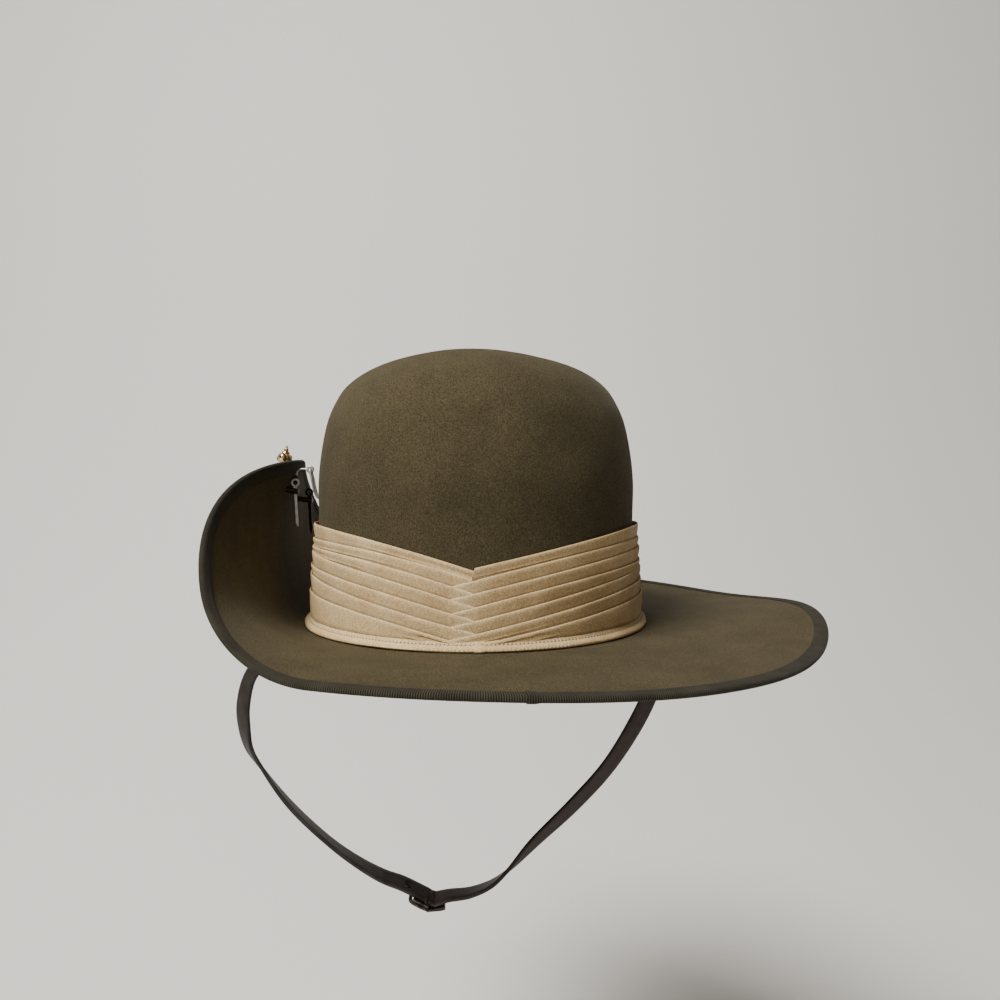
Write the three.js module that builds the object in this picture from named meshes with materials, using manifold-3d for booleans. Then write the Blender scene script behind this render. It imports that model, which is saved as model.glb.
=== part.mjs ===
// A felt slouch hat: a creased crown, a wide brim with one side hooked up against the crown,
// a bound edge, a pleated cloth band, a buckled chin strap and a badge held by split pins.
// Millimetres, +Z up. The origin is the middle of the head opening, where crown and brim meet.
// -X is the side that is hooked up, -Y the end where the pleats of the band meet in a point.
import * as THREE from 'three';
import { mergeVertices } from 'three/addons/utils/BufferGeometryUtils.js';
import Module from 'manifold-3d';

const wasm = await Module();
wasm.setup();

const TURN = 2 * Math.PI;
const DEGREE = Math.PI / 180;
const SEGMENTS = 54;        // steps round the crown, the band and the brim
const GAP = 0.3;            // clearance between pieces that are sewn or pressed together
const UP = new THREE.Vector3(0, 0, 1);
const ACROSS = new THREE.Vector3(0, 1, 0);

// ---- Driving dimensions ----

const HEAD = { halfWidth: 85, halfLength: 103.5 };     // outside of the crown at its foot
const FELT = { thickness: 2.2, atEdge: 1.4 };          // pressed thinner under the binding
const LENGTH_RATIO = HEAD.halfLength / HEAD.halfWidth;

// The crown's outline seen from the end, from near the middle of its top down to its foot.
const CROWN_PROFILE = [
  { out: 17, height: 142.3 },
  { out: 32, height: 141.2 },
  { out: 45, height: 138.2 },
  { out: 56.5, height: 132.8 },
  { out: 65.2, height: 127.4 },
  { out: 71.7, height: 121.5 },
  { out: 76, height: 114.5 },
  { out: 79.6, height: 106 },
  { out: 82.2, height: 94 },
  { out: 84.2, height: 76 },
  { out: 84.2, height: 52 },
  { out: 85, height: 3 },
];
const CROWN_FOOT = [
  { away: 0.9, height: 0.9 },
  { away: 3, height: 0 },
];

// The lengthwise crease sunk into the crown's top, and the fall of the top towards +Y.
const CREASE = { depth: 25, halfWidth: 27, middle: 3, start: -34, end: 72, fade: 24 };
const TOP_FALL = { depth: 9, start: -30, end: 95 };
const SHOULDER = { low: 98, high: 132 };

// The brim's edge laid flat: its distance from the middle and its height, every 30 degrees from +X.
const BRIM_EDGE = [
  { radius: 183, height: 5.5 },
  { radius: 184.5, height: 2.6 },
  { radius: 187, height: 6.8 },
  { radius: 188, height: 6.4 },
  { radius: 187, height: 4.5 },
  { radius: 186, height: 4.5 },
  { radius: 177.8, height: 4 },
  { radius: 174.4, height: 3 },
  { radius: 177.9, height: 0 },
  { radius: 181.4, height: -2.2 },
  { radius: 182.6, height: -5.3 },
  { radius: 178.8, height: -4.8 },
];
const BRIM_FRACTIONS = [0.04, 0.09, 0.15, 0.22, 0.33, 0.48, 0.68];
const BRIM_CURVE = 1.4;     // how late the brim leaves the level on its way out

// The turned-up side: a tight fold beside the crown that opens into a wide one further along,
// followed by a slow lean back towards the crown.
const FOLD = {
  besideCrown: { start: 88.9, radius: 12.9, turn: 75 * DEGREE },
  farAlong: { start: 53, radius: 57, turn: 61 * DEGREE },
  spread: 136,
  leanRadius: 127,
};

const BINDING = { width: 5.5, thickness: 1 };

// Height of each pleat's folded edge at the point, at the sides, and its sag in between.
const PLEATS = [
  { point: 29.5, side: 45.1, sag: 2.4 },
  { point: 23.9, side: 40.6, sag: 2.2 },
  { point: 18.1, side: 35.9, sag: 2 },
  { point: 12.6, side: 31, sag: 1.3 },
  { point: 8.6, side: 26, sag: 0.6 },
  { point: 6.6, side: 17.6, sag: 1.6 },
];
const BAND = { pointHeight: 34.3, sideHeight: 52.5, away: 2.3, step: 0.9, gain: 0.12, ledge: 0.3 };
const HEM = [
  { away: 4.6, height: 5.4 },
  { away: 6.4, height: 2.2 },
  { away: 6, height: 0.8 },
  { away: 3.8, height: 0.6 },
  { away: 1.5, height: 1.6 },
];
const BAND_INNER_FRACTIONS = [0.08, 0.5, 1];

// The chin strap hangs in one upright plane. Roll 90 lies flat against the head, 0 faces the end.
const STRAP = { width: 10, thickness: 2, plane: -20, step: 5 };
const STRAP_LEFT = [
  { x: -79.5, z: 16, roll: 80.6 },
  { x: -79.6, z: 5, roll: 80.6 },
  { x: -81, z: -4, roll: 78 },
  { x: -91, z: -12, roll: 70 },
  { x: -108, z: -18, roll: 55 },
  { x: -118.5, z: -28, roll: 45 },
  { x: -122.8, z: -44, roll: 38 },
  { x: -122.3, z: -56, roll: 42 },
  { x: -119.8, z: -67, roll: 55 },
  { x: -113.5, z: -77, roll: 67 },
  { x: -98, z: -97, roll: 82 },
  { x: -76.5, z: -117, roll: 86 },
  { x: -61, z: -128, roll: 94 },
  { x: -48.5, z: -134.8, roll: 102 },
];
const STRAP_RIGHT = [
  { x: -14.7, z: -144.9, roll: 99 },
  { x: -3.1, z: -143.3, roll: 93 },
  { x: 8.5, z: -138.6, roll: 84 },
  { x: 17.5, z: -131.2, roll: 71 },
  { x: 30.5, z: -117.2, roll: 50 },
  { x: 52, z: -96.5, roll: 37 },
  { x: 71.5, z: -74.5, roll: 34 },
  { x: 90, z: -43, roll: 27 },
  { x: 96, z: -25, roll: 45 },
  { x: 91, z: -11.5, roll: 62 },
  { x: 81.5, z: -3.5, roll: 76 },
  { x: 79.6, z: 5, roll: 80.6 },
  { x: 79.5, z: 16, roll: 80.6 },
];
const BUCKLE_SEAT = { x: -27.5, z: -143.9, tilt: -26 * DEGREE, roll: 106, lead: 13 };
const BUCKLE = { halfLength: 5.5, halfWidth: 6.6, corner: 1, tension: 0.1, wire: 1 };
const BUCKLE_DROP = STRAP.thickness / 2 + GAP + BUCKLE.wire;
const TURN_BACK = { steps: 1, bend: 6, drop: 3.5 };
const PRONG = { wire: 0.9, tip: 1.8 };
const PRONG_HOLE = { along: -9.3, halfLength: 2.4, halfWidth: 2.2, sides: 14 };

// Fittings on the turned-up side. Along is measured over the felt from the start of its fold.
const BADGE = { y: 9.5, along: 72.5, seat: 3, stretch: 1.4, sides: 22 };
const BADGE_HALF_HEIGHT = 12.5;
// The badge's face from its middle to its rim: how far out, and how thick it is there.
const BADGE_FACE = [
  { out: 0, thick: 4 },
  { out: 6.25, thick: 3.4 },
  { out: 9.3, thick: 1.6 },
  { out: 10.9, thick: 2.4 },
  { out: BADGE_HALF_HEIGHT, thick: 1.6 },
  { out: BADGE_HALF_HEIGHT, thick: 0 },
  { out: 0, thick: 0 },
];
// The finial's beads, across the badge and down from the middle one.
const FINIAL_BEADS = [
  { across: -4.2, down: 1.9 },
  { across: 0, down: 0 },
  { across: 4.2, down: 1.9 },
];
const FINIAL = { beadRadius: 2.4, stem: 1, height: 21.2, lap: 2 };
// The pins cross the lugs a distance back from the felt.
const LUGS = [{ y: -5, along: 74.5, back: 4.5 }, { y: 24, along: 71.4, back: 7.7 }];
const LUG = { radius: 1.6, hole: 2.1, past: 1.9, pinHole: 0.9 };
const PIN = { wire: 0.6, eye: 1.8, leg: 18 };
const HOOK = { y: 4, along: 82, wire: 0.6, ring: 1.6, arm: 7.8, rise: 3.8 };
const SEWN_LOOP = { halfWidth: 2.4, length: 6 };
const EYE = { wire: 0.6, halfWidth: 2.3, foot: 63, sewn: 4 };
const EYE_BEND = { away: 3.6, above: 3.4 };
const EYE_WAIST = { ring: 0.6, foot: 0.8 };    // of its half width

// ---- Meshes from rings of points ----

function skin(rings, closed = false) {
  const count = rings[0].length;
  const positions = rings.flat().flatMap((point) => point.toArray());
  const index = [];
  const links = closed ? rings.length : rings.length - 1;
  for (let i = 0; i < links; i += 1) {
    const here = i * count;
    const next = ((i + 1) % rings.length) * count;
    for (let j = 0; j < count; j += 1) {
      const k = (j + 1) % count;
      index.push(here + j, here + k, next + k, here + j, next + k, next + j);
    }
  }
  if (!closed) {
    addCap(positions, index, rings[0], 0, true);
    addCap(positions, index, rings[rings.length - 1], (rings.length - 1) * count, false);
  }
  const geometry = new THREE.BufferGeometry();
  geometry.setAttribute('position', new THREE.Float32BufferAttribute(positions, 3));
  geometry.setIndex(index);
  return facingOut(geometry);
}

function addCap(positions, index, ring, first, isStart) {
  const middle = new THREE.Vector3();
  ring.forEach((point) => middle.add(point));
  middle.divideScalar(ring.length);
  const centre = positions.length / 3;
  positions.push(...middle.toArray());
  ring.forEach((point, j) => {
    const a = first + j;
    const b = first + ((j + 1) % ring.length);
    index.push(...(isStart ? [centre, b, a] : [centre, a, b]));
  });
}

function facingOut(geometry) {
  const points = geometry.getAttribute('position');
  const index = geometry.getIndex();
  const corners = [0, 1, 2].map(() => new THREE.Vector3());
  let volume = 0;
  for (let i = 0; i < index.count; i += 3) {
    corners.forEach((corner, k) => corner.fromBufferAttribute(points, index.getX(i + k)));
    volume += corners[0].dot(corners[1].clone().cross(corners[2]));
  }
  if (volume < 0) {
    index.array.reverse();
  }
  geometry.computeVertexNormals();
  return geometry;
}

function toSolid(geometry) {
  const plain = geometry.clone();
  plain.deleteAttribute('normal');
  plain.deleteAttribute('uv');
  const merged = mergeVertices(plain, 1e-4);
  return new wasm.Manifold(new wasm.Mesh({
    numProp: 3,
    vertProperties: new Float32Array(merged.getAttribute('position').array),
    triVerts: new Uint32Array(merged.getIndex().array),
  }));
}

function toGeometry(solid) {
  const mesh = solid.getMesh();
  const geometry = new THREE.BufferGeometry();
  geometry.setAttribute('position', new THREE.Float32BufferAttribute(mesh.vertProperties, 3));
  geometry.setIndex([...mesh.triVerts]);
  geometry.computeVertexNormals();
  return geometry;
}

function cut(body, tools) {
  return toGeometry(tools.map(toSolid).reduce((left, tool) => left.subtract(tool), toSolid(body)));
}

function join(parts) {
  return toGeometry(parts.map(toSolid).reduce((sum, part) => sum.add(part)));
}

function wire(curve, radius, steps, closed = false, sides = 7) {
  const frames = curve.computeFrenetFrames(steps, closed);
  const rings = [];
  for (let i = 0; i < (closed ? steps : steps + 1); i += 1) {
    const centre = curve.getPointAt(i / steps);
    rings.push(Array.from({ length: sides }, (_, j) => {
      const angle = (TURN * j) / sides;
      return centre.clone()
        .addScaledVector(frames.normals[i], radius * Math.cos(angle))
        .addScaledVector(frames.binormals[i], radius * Math.sin(angle));
    }));
  }
  return skin(rings, closed);
}

function rod(start, end, radius, sides = 12) {
  const along = end.clone().sub(start);
  const geometry = new THREE.CylinderGeometry(radius, radius, along.length(), sides);
  geometry.applyQuaternion(new THREE.Quaternion().setFromUnitVectors(ACROSS, along.clone().normalize()));
  const middle = start.clone().add(end).multiplyScalar(0.5);
  return geometry.translate(middle.x, middle.y, middle.z);
}

// ---- Felt ----

const anglesRound = Array.from({ length: SEGMENTS }, (_, j) => (TURN * j) / SEGMENTS);

function sunkBy(x, y, height) {
  const onTop = THREE.MathUtils.smoothstep(height, SHOULDER.low, SHOULDER.high);
  const starts = THREE.MathUtils.smoothstep(y, CREASE.start - CREASE.fade, CREASE.start + CREASE.fade);
  const ends = THREE.MathUtils.smoothstep(y, CREASE.end - CREASE.fade, CREASE.end + CREASE.fade);
  const sideways = Math.exp(-(((x - CREASE.middle) / CREASE.halfWidth) ** 2));
  const fall = TOP_FALL.depth * THREE.MathUtils.smoothstep(y, TOP_FALL.start, TOP_FALL.end);
  return onTop * (fall + CREASE.depth * sideways * starts * (1 - ends));
}

function crownPoint(row, angle) {
  const x = row.out * Math.cos(angle);
  const y = row.out * LENGTH_RATIO * Math.sin(angle);
  return new THREE.Vector3(x, y, row.height - sunkBy(x, y, row.height));
}

function besideFoot(away, height, angle) {
  const x = (HEAD.halfWidth + away) * Math.cos(angle);
  const y = (HEAD.halfLength + away) * Math.sin(angle);
  return new THREE.Vector3(x, y, height);
}

// Periodic Catmull-Rom reading of one column of the brim's edge table.
function edgeValue(column, angle) {
  const place = (((angle % TURN) + TURN) % TURN) / (TURN / BRIM_EDGE.length);
  const row = Math.floor(place);
  const u = place - row;
  const [a, b, c, d] = [-1, 0, 1, 2].map((step) => {
    const neighbour = (row + step + BRIM_EDGE.length) % BRIM_EDGE.length;
    return BRIM_EDGE[neighbour][column];
  });
  return b + 0.5 * u * (c - a + u * (2 * a - 5 * b + 4 * c - d + u * (3 * (b - c) + d - a)));
}

function foldAt(y) {
  const mix = 1 - Math.exp(-2 * (y / FOLD.spread) ** 2);
  const between = (key) => THREE.MathUtils.lerp(FOLD.besideCrown[key], FOLD.farAlong[key], mix);
  return { start: between('start'), radius: between('radius'), turn: between('turn') };
}

// Point and slope of the folded felt, a distance along it from the start of its fold.
function alongFold(fold, distance) {
  const tight = Math.min(distance / fold.radius, fold.turn);
  const lean = Math.max(distance - fold.radius * fold.turn, 0) / FOLD.leanRadius;
  const slope = tight + lean;
  return {
    out: fold.radius * Math.sin(tight) + FOLD.leanRadius * (Math.sin(slope) - Math.sin(tight)),
    rise: fold.radius * (1 - Math.cos(tight)) + FOLD.leanRadius * (Math.cos(tight) - Math.cos(slope)),
    slope,
  };
}

function foldUp(point) {
  const fold = foldAt(point.y);
  const distance = -point.x - fold.start;
  if (distance <= 0) {
    return point;
  }
  const bent = alongFold(fold, distance);
  return new THREE.Vector3(-fold.start - bent.out, point.y, point.z + bent.rise);
}

function brimPoint(fraction, angle) {
  const foot = besideFoot(CROWN_FOOT.at(-1).away, 0, angle);
  const radius = edgeValue('radius', angle);
  const edge = new THREE.Vector3(radius * Math.cos(angle), radius * Math.sin(angle), 0);
  const point = foot.lerp(edge, fraction);
  point.z = edgeValue('height', angle) * fraction ** BRIM_CURVE;
  return foldUp(point);
}

function besideEdge(distance, angle) {
  const foot = besideFoot(CROWN_FOOT.at(-1).away, 0, angle);
  return brimPoint(1 - distance / (edgeValue('radius', angle) - foot.length()), angle);
}

function upperRings() {
  return [
    ...CROWN_PROFILE.map((row) => anglesRound.map((angle) => crownPoint(row, angle))),
    ...CROWN_FOOT.map((row) => anglesRound.map((angle) => besideFoot(row.away, row.height, angle))),
    ...BRIM_FRACTIONS.map((fraction) => anglesRound.map((angle) => brimPoint(fraction, angle))),
    anglesRound.map((angle) => besideEdge(BINDING.width, angle)),
    anglesRound.map((angle) => brimPoint(1, angle)),
  ];
}

function normalsOf(rings) {
  return rings.map((ring, i) => ring.map((_, j) => {
    const before = rings[Math.max(i - 1, 0)][j];
    const after = rings[Math.min(i + 1, rings.length - 1)][j];
    const left = ring[(j + SEGMENTS - 1) % SEGMENTS];
    const right = ring[(j + 1) % SEGMENTS];
    return after.clone().sub(before).cross(right.clone().sub(left)).normalize();
  }));
}

function underRings(rings) {
  const normals = normalsOf(rings);
  return rings.map((ring, i) => ring.map((point, j) => {
    const thickness = i === rings.length - 1 ? FELT.atEdge : FELT.thickness;
    return point.clone().addScaledVector(normals[i][j], -thickness);
  }));
}

function feltBody() {
  const upper = upperRings();
  const body = skin([...upper, ...underRings(upper).reverse()]);
  const holes = lugPlaces().map((lug) => rod(lug.outside, lug.inside, LUG.hole));
  return cut(body, holes);
}

// ---- Binding folded over the brim's edge ----

// The section's corners in order round the loop, so that its facets run along the felt's own.
function bindingLoop() {
  const upper = upperRings();
  const normals = normalsOf(upper);
  const [inner, edge] = [upper.at(-2), upper.at(-1)];
  const [innerNormals, edgeNormals] = [normals.at(-2), normals.at(-1)];
  const far = GAP + BINDING.thickness;
  return skin(edge.map((point, j) => {
    const outward = point.clone().sub(inner[j]).normalize();
    const overFelt = (up) => inner[j].clone().addScaledVector(innerNormals[j], up);
    const overEdge = (out, up) => point.clone()
      .addScaledVector(outward, out)
      .addScaledVector(edgeNormals[j], up);
    return [
      overFelt(GAP),
      overEdge(GAP, GAP),
      overEdge(GAP, -FELT.atEdge - GAP),
      overFelt(-FELT.thickness - GAP),
      overFelt(-FELT.thickness - far),
      overEdge(far, -FELT.atEdge - far),
      overEdge(far, far),
      overFelt(far),
    ];
  }), true);
}

// ---- Pleated band ----

function wallOut(height) {
  const below = CROWN_PROFILE.findIndex((row) => row.height <= height);
  const [upper, lower] = [CROWN_PROFILE[below - 1], CROWN_PROFILE[below]];
  return THREE.MathUtils.mapLinear(height, lower.height, upper.height, lower.out, upper.out);
}

function besideWall(away, height, angle) {
  const out = wallOut(Math.max(height, CROWN_PROFILE.at(-1).height));
  const x = (out + away) * Math.cos(angle);
  const y = (out * LENGTH_RATIO + away) * Math.sin(angle);
  return new THREE.Vector3(x, y, height);
}

// 0 at the point of the pleats, 1 at the sides and all round the other end.
const sideways = (angle) => (Math.sin(angle) < 0 ? Math.abs(Math.cos(angle)) : 1);

function pleatHeight(pleat, angle) {
  const s = sideways(angle);
  return THREE.MathUtils.lerp(pleat.point, pleat.side, s) + pleat.sag * 4 * s * (1 - s);
}

function bandSection(angle) {
  const top = THREE.MathUtils.lerp(BAND.pointHeight, BAND.sideHeight, sideways(angle));
  const rows = [{ away: BAND.away + BAND.step, height: top }];
  PLEATS.forEach((pleat, i) => {
    const height = pleatHeight(pleat, angle);
    const away = BAND.away + i * BAND.gain;
    rows.push({ away, height: height + BAND.ledge / 2 });
    rows.push({ away: away + BAND.step, height: height - BAND.ledge / 2 });
  });
  rows.push(...HEM);
  BAND_INNER_FRACTIONS.forEach((fraction) => rows.push({ away: GAP, height: top * fraction }));
  return rows.map((row) => besideWall(row.away, row.height, angle));
}

// ---- Chin strap ----

const inStrapPlane = (x, z) => new THREE.Vector3(x, STRAP.plane, z);

// The ribbon's frame where it runs along a direction in its plane.
function ribbonFrame(direction, roll) {
  const inPlane = ACROSS.clone().cross(direction);
  const width = inPlane.multiplyScalar(Math.cos(roll)).addScaledVector(ACROSS, Math.sin(roll));
  return { width, face: direction.clone().cross(width) };
}

function buckleFrame() {
  const along = new THREE.Vector3(Math.cos(BUCKLE_SEAT.tilt), 0, Math.sin(BUCKLE_SEAT.tilt));
  const { width, face } = ribbonFrame(along, BUCKLE_SEAT.roll * DEGREE);
  const centre = inStrapPlane(BUCKLE_SEAT.x, BUCKLE_SEAT.z);
  const place = (u, w, n) => centre.clone()
    .addScaledVector(along, u)
    .addScaledVector(width, w)
    .addScaledVector(face, n);
  return { along, width, face, place };
}

function ribbonRing({ centre, width, face }) {
  const corners = [[-1, -1], [1, -1], [1, 1], [-1, 1]];
  return corners.map(([w, n]) => centre.clone()
    .addScaledVector(width, (w * STRAP.width) / 2)
    .addScaledVector(face, (n * STRAP.thickness) / 2));
}

// The ribbon's frames at even steps through a table of stations.
function strapFrames(stations) {
  const places = stations.map((row) => inStrapPlane(row.x, row.z));
  const curve = new THREE.CatmullRomCurve3(places, false, 'centripetal');
  const count = Math.round(curve.getLength() / STRAP.step);
  return Array.from({ length: count + 1 }, (_, i) => {
    const t = curve.getUtoTmapping(i / count);
    const place = t * (stations.length - 1);
    const row = Math.min(Math.floor(place), stations.length - 2);
    const roll = THREE.MathUtils.lerp(stations[row].roll, stations[row + 1].roll, place - row) * DEGREE;
    return { centre: curve.getPoint(t), ...ribbonFrame(curve.getTangent(t), roll) };
  });
}

const stationAt = (point) => ({ x: point.x, z: point.z, roll: BUCKLE_SEAT.roll });

function prongHole() {
  const { place } = buckleFrame();
  const through = 2 * STRAP.thickness;
  return skin([-through, through].map((n) => Array.from({ length: PRONG_HOLE.sides }, (_, j) => {
    const angle = (TURN * j) / PRONG_HOLE.sides;
    const along = PRONG_HOLE.along + PRONG_HOLE.halfLength * Math.cos(angle);
    return place(along, PRONG_HOLE.halfWidth * Math.sin(angle), n);
  })));
}

// The long strap comes down on the turned-up side and ends square, just short of the buckle's bar.
function chinStrapLong() {
  const { place } = buckleFrame();
  const end = BUCKLE.halfLength - BUCKLE_DROP - STRAP.thickness / 2 - GAP;
  const lead = stationAt(place(-BUCKLE_SEAT.lead, 0, 0));
  const stations = [...STRAP_LEFT, lead, stationAt(place(end, 0, 0))];
  return cut(skin(strapFrames(stations).map(ribbonRing)), [prongHole()]);
}

// The short strap starts behind itself, turns round the buckle's bar and runs up to the head.
function chinStrapShort() {
  const { along, width, face, place } = buckleFrame();
  const bar = BUCKLE.halfLength;
  const front = strapFrames([stationAt(place(bar + BUCKLE.wire, 0, 0)), ...STRAP_RIGHT]);
  const behind = front.slice(1, TURN_BACK.steps + 1).reverse().map((frame) => ({
    centre: frame.centre.clone().addScaledVector(frame.face, -TURN_BACK.drop),
    width: frame.width,
    face: frame.face.clone().negate(),
  }));
  const turn = Array.from({ length: TURN_BACK.bend + 1 }, (_, i) => {
    const angle = Math.PI * (1 - i / TURN_BACK.bend);
    const outward = along.clone().multiplyScalar(-Math.sin(angle)).addScaledVector(face, Math.cos(angle));
    const centre = place(bar, 0, -BUCKLE_DROP).addScaledVector(outward, BUCKLE_DROP);
    return { centre, width, face: outward };
  });
  return skin([...behind, ...turn, ...front].map(ribbonRing));
}

function strapBuckle() {
  const { place } = buckleFrame();
  const { halfLength: u, halfWidth: w, corner } = BUCKLE;
  const outline = [
    [u, w - corner], [u - corner, w], [corner - u, w], [-u, w - corner],
    [-u, corner - w], [corner - u, -w], [u - corner, -w], [u, corner - w],
  ];
  const points = outline.map(([along, across]) => place(along, across, -BUCKLE_DROP));
  const curve = new THREE.CatmullRomCurve3(points, true, 'catmullrom', BUCKLE.tension);
  const frame = wire(curve, BUCKLE.wire, 24, true);
  const elbow = place(PRONG_HOLE.along, 0, -BUCKLE_DROP);
  const shank = rod(place(-u, 0, -BUCKLE_DROP), elbow, PRONG.wire, 8);
  const tip = rod(elbow, place(PRONG_HOLE.along, 0, PRONG.tip), PRONG.wire, 8);
  const knee = new THREE.SphereGeometry(PRONG.wire, 8, 6).translate(elbow.x, elbow.y, elbow.z);
  return join([frame, shank, knee, tip]);
}

// ---- Fittings on the turned-up side ----

// Frame on the felt of the turned-up side: inside is the face towards the crown.
function onFlap(y, along) {
  const fold = foldAt(y);
  const bent = alongFold(fold, along);
  const edge = edgeValue('radius', Math.PI);
  const fraction = (fold.start + along - HEAD.halfWidth) / (edge - HEAD.halfWidth);
  const height = edgeValue('height', Math.PI) * fraction ** BRIM_CURVE + bent.rise;
  return {
    surface: new THREE.Vector3(-fold.start - bent.out, y, height),
    inward: new THREE.Vector3(Math.sin(bent.slope), 0, Math.cos(bent.slope)),
    upward: new THREE.Vector3(-Math.cos(bent.slope), 0, Math.sin(bent.slope)),
  };
}

function lugPlaces() {
  return LUGS.map(({ y, along, back }) => {
    const { surface, inward } = onFlap(y, along);
    const behind = (distance) => surface.clone().addScaledVector(inward, distance);
    return {
      outside: behind(-FELT.thickness - BADGE.seat - 1),
      inside: behind(back + LUG.past),
      pin: behind(back),
    };
  });
}

// A plain oval boss with a raised rim and a finial of three beads, on two lugs through the felt.
function badge() {
  const { surface, inward, upward } = onFlap(BADGE.y, BADGE.along);
  const back = surface.clone().addScaledVector(inward, -FELT.thickness - BADGE.seat);
  const place = (sidewise, rise, behind) => back.clone()
    .addScaledVector(ACROSS, sidewise)
    .addScaledVector(upward, rise)
    .addScaledVector(inward, -behind);
  const profile = BADGE_FACE.map((row) => new THREE.Vector2(row.out, row.thick)).reverse();
  const disc = new THREE.LatheGeometry(profile, BADGE.sides);
  disc.scale(1, 1, BADGE.stretch);
  disc.applyMatrix4(new THREE.Matrix4().makeBasis(upward, inward.clone().negate(), ACROSS.clone().negate()));
  disc.translate(back.x, back.y, back.z);
  const stemFoot = place(0, BADGE_HALF_HEIGHT - FINIAL.lap, FINIAL.stem);
  const stem = rod(stemFoot, place(0, FINIAL.height, FINIAL.stem), FINIAL.stem, 8);
  const beads = FINIAL_BEADS.map(({ across, down }) => {
    const centre = place(across, FINIAL.height - down, FINIAL.beadRadius);
    return new THREE.SphereGeometry(FINIAL.beadRadius, 8, 6).translate(centre.x, centre.y, centre.z);
  });
  const lugs = lugPlaces().map((lug) => rod(lug.outside, lug.inside, LUG.radius, 10));
  const pinHoles = lugPlaces().map(({ pin }) => {
    const half = new THREE.Vector3(0, 0, 2 * LUG.radius);
    return rod(pin.clone().sub(half), pin.clone().add(half), LUG.pinHole, 8);
  });
  return cut(join([disc, stem, ...beads, ...lugs]), pinHoles);
}

function splitPin(lug) {
  const eyeCentre = lug.pin.clone().addScaledVector(UP, LUG.radius + 2 * GAP + PIN.eye + PIN.wire);
  const eyeFoot = eyeCentre.clone().addScaledVector(UP, -PIN.eye);
  const legEnd = lug.pin.clone().addScaledVector(UP, -PIN.leg);
  return join([uprightRing(eyeCentre, PIN.eye, PIN.wire), rod(legEnd, eyeFoot, PIN.wire, 8)]);
}

// A wire ring that stands across the hat, seen round from its end.
function uprightRing(centre, radius, wireRadius) {
  const ring = new THREE.TorusGeometry(radius, wireRadius, 6, 12);
  ring.rotateX(Math.PI / 2);
  return ring.translate(centre.x, centre.y, centre.z);
}

function hookPlaces() {
  const { surface, inward, upward } = onFlap(HOOK.y, HOOK.along);
  const foot = surface.clone().addScaledVector(inward, HOOK.wire + 2 * GAP);
  const tip = foot.clone().add(new THREE.Vector3(HOOK.arm, 0, HOOK.rise));
  return { foot, tip, upward };
}

function flapHook() {
  const { foot, tip, upward } = hookPlaces();
  const sewnAt = (down, sidewise) => foot.clone()
    .addScaledVector(upward, -down)
    .addScaledVector(ACROSS, sidewise);
  const { halfWidth, length } = SEWN_LOOP;
  const sewn = new THREE.CatmullRomCurve3([
    sewnAt(0, 0), sewnAt(length / 2, halfWidth), sewnAt(length, 0), sewnAt(length / 2, -halfWidth),
  ], true);
  const armEnd = tip.clone().add(new THREE.Vector3(-HOOK.ring, 0, 0));
  return join([
    wire(sewn, HOOK.wire, 14, true, 6),
    rod(foot, armEnd, HOOK.wire, 8),
    uprightRing(tip, HOOK.ring, HOOK.wire),
  ]);
}

// A long wire loop that hangs in the hook's ring and is sewn to the crown above the band.
function crownEye() {
  const { tip } = hookPlaces();
  const wall = besideWall(EYE.wire + 2 * GAP, EYE.foot, Math.PI);
  const bend = wall.clone().add(new THREE.Vector3(-EYE_BEND.away, 0, EYE_BEND.above));
  const near = tip.clone().lerp(bend, 0.25);
  const sewn = wall.clone().addScaledVector(UP, -EYE.sewn);
  const side = (point, share) => new THREE.Vector3(point.x, HOOK.y + share * EYE.halfWidth, point.z);
  const loop = new THREE.CatmullRomCurve3([
    side(tip, -EYE_WAIST.ring), side(tip, EYE_WAIST.ring), side(near, 1), side(bend, 1),
    side(wall, EYE_WAIST.foot), side(sewn, 1), side(sewn, -1), side(wall, -EYE_WAIST.foot),
    side(bend, -1), side(near, -1),
  ], true, 'centripetal');
  return wire(loop, EYE.wire, 36, true, 6);
}

// ---- The hat ----

const group = new THREE.Group();

function add(name, geometry, color, roughness, metalness = 0) {
  const mesh = new THREE.Mesh(geometry, new THREE.MeshStandardMaterial({ color, roughness, metalness }));
  mesh.name = name;
  group.add(mesh);
}

add('crown_and_brim', feltBody(), '#584e38', 0.95);
add('brim_binding', bindingLoop(), '#24231d', 0.85);
add('pleated_band', skin(anglesRound.map(bandSection), true), '#b79c74', 0.9);
add('chin_strap_long', chinStrapLong(), '#1f1815', 0.5);
add('chin_strap_short', chinStrapShort(), '#2c1a15', 0.5);
add('strap_buckle', strapBuckle(), '#2b2a28', 0.4, 1);
add('flap_hook', flapHook(), '#b4b4ae', 0.35, 1);
add('crown_eye', crownEye(), '#b4b4ae', 0.35, 1);
add('badge', badge(), '#b08c45', 0.35, 1);
lugPlaces().forEach((lug, i) => {
  add(['split_pin_near', 'split_pin_far'][i], splitPin(lug), ['#c4c4bf', '#2a2826'][i], 0.35, 1);
});

export default group;
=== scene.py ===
import math

import bpy
from bpy.props import FloatProperty, FloatVectorProperty, IntProperty, PointerProperty
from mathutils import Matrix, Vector, noise


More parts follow.
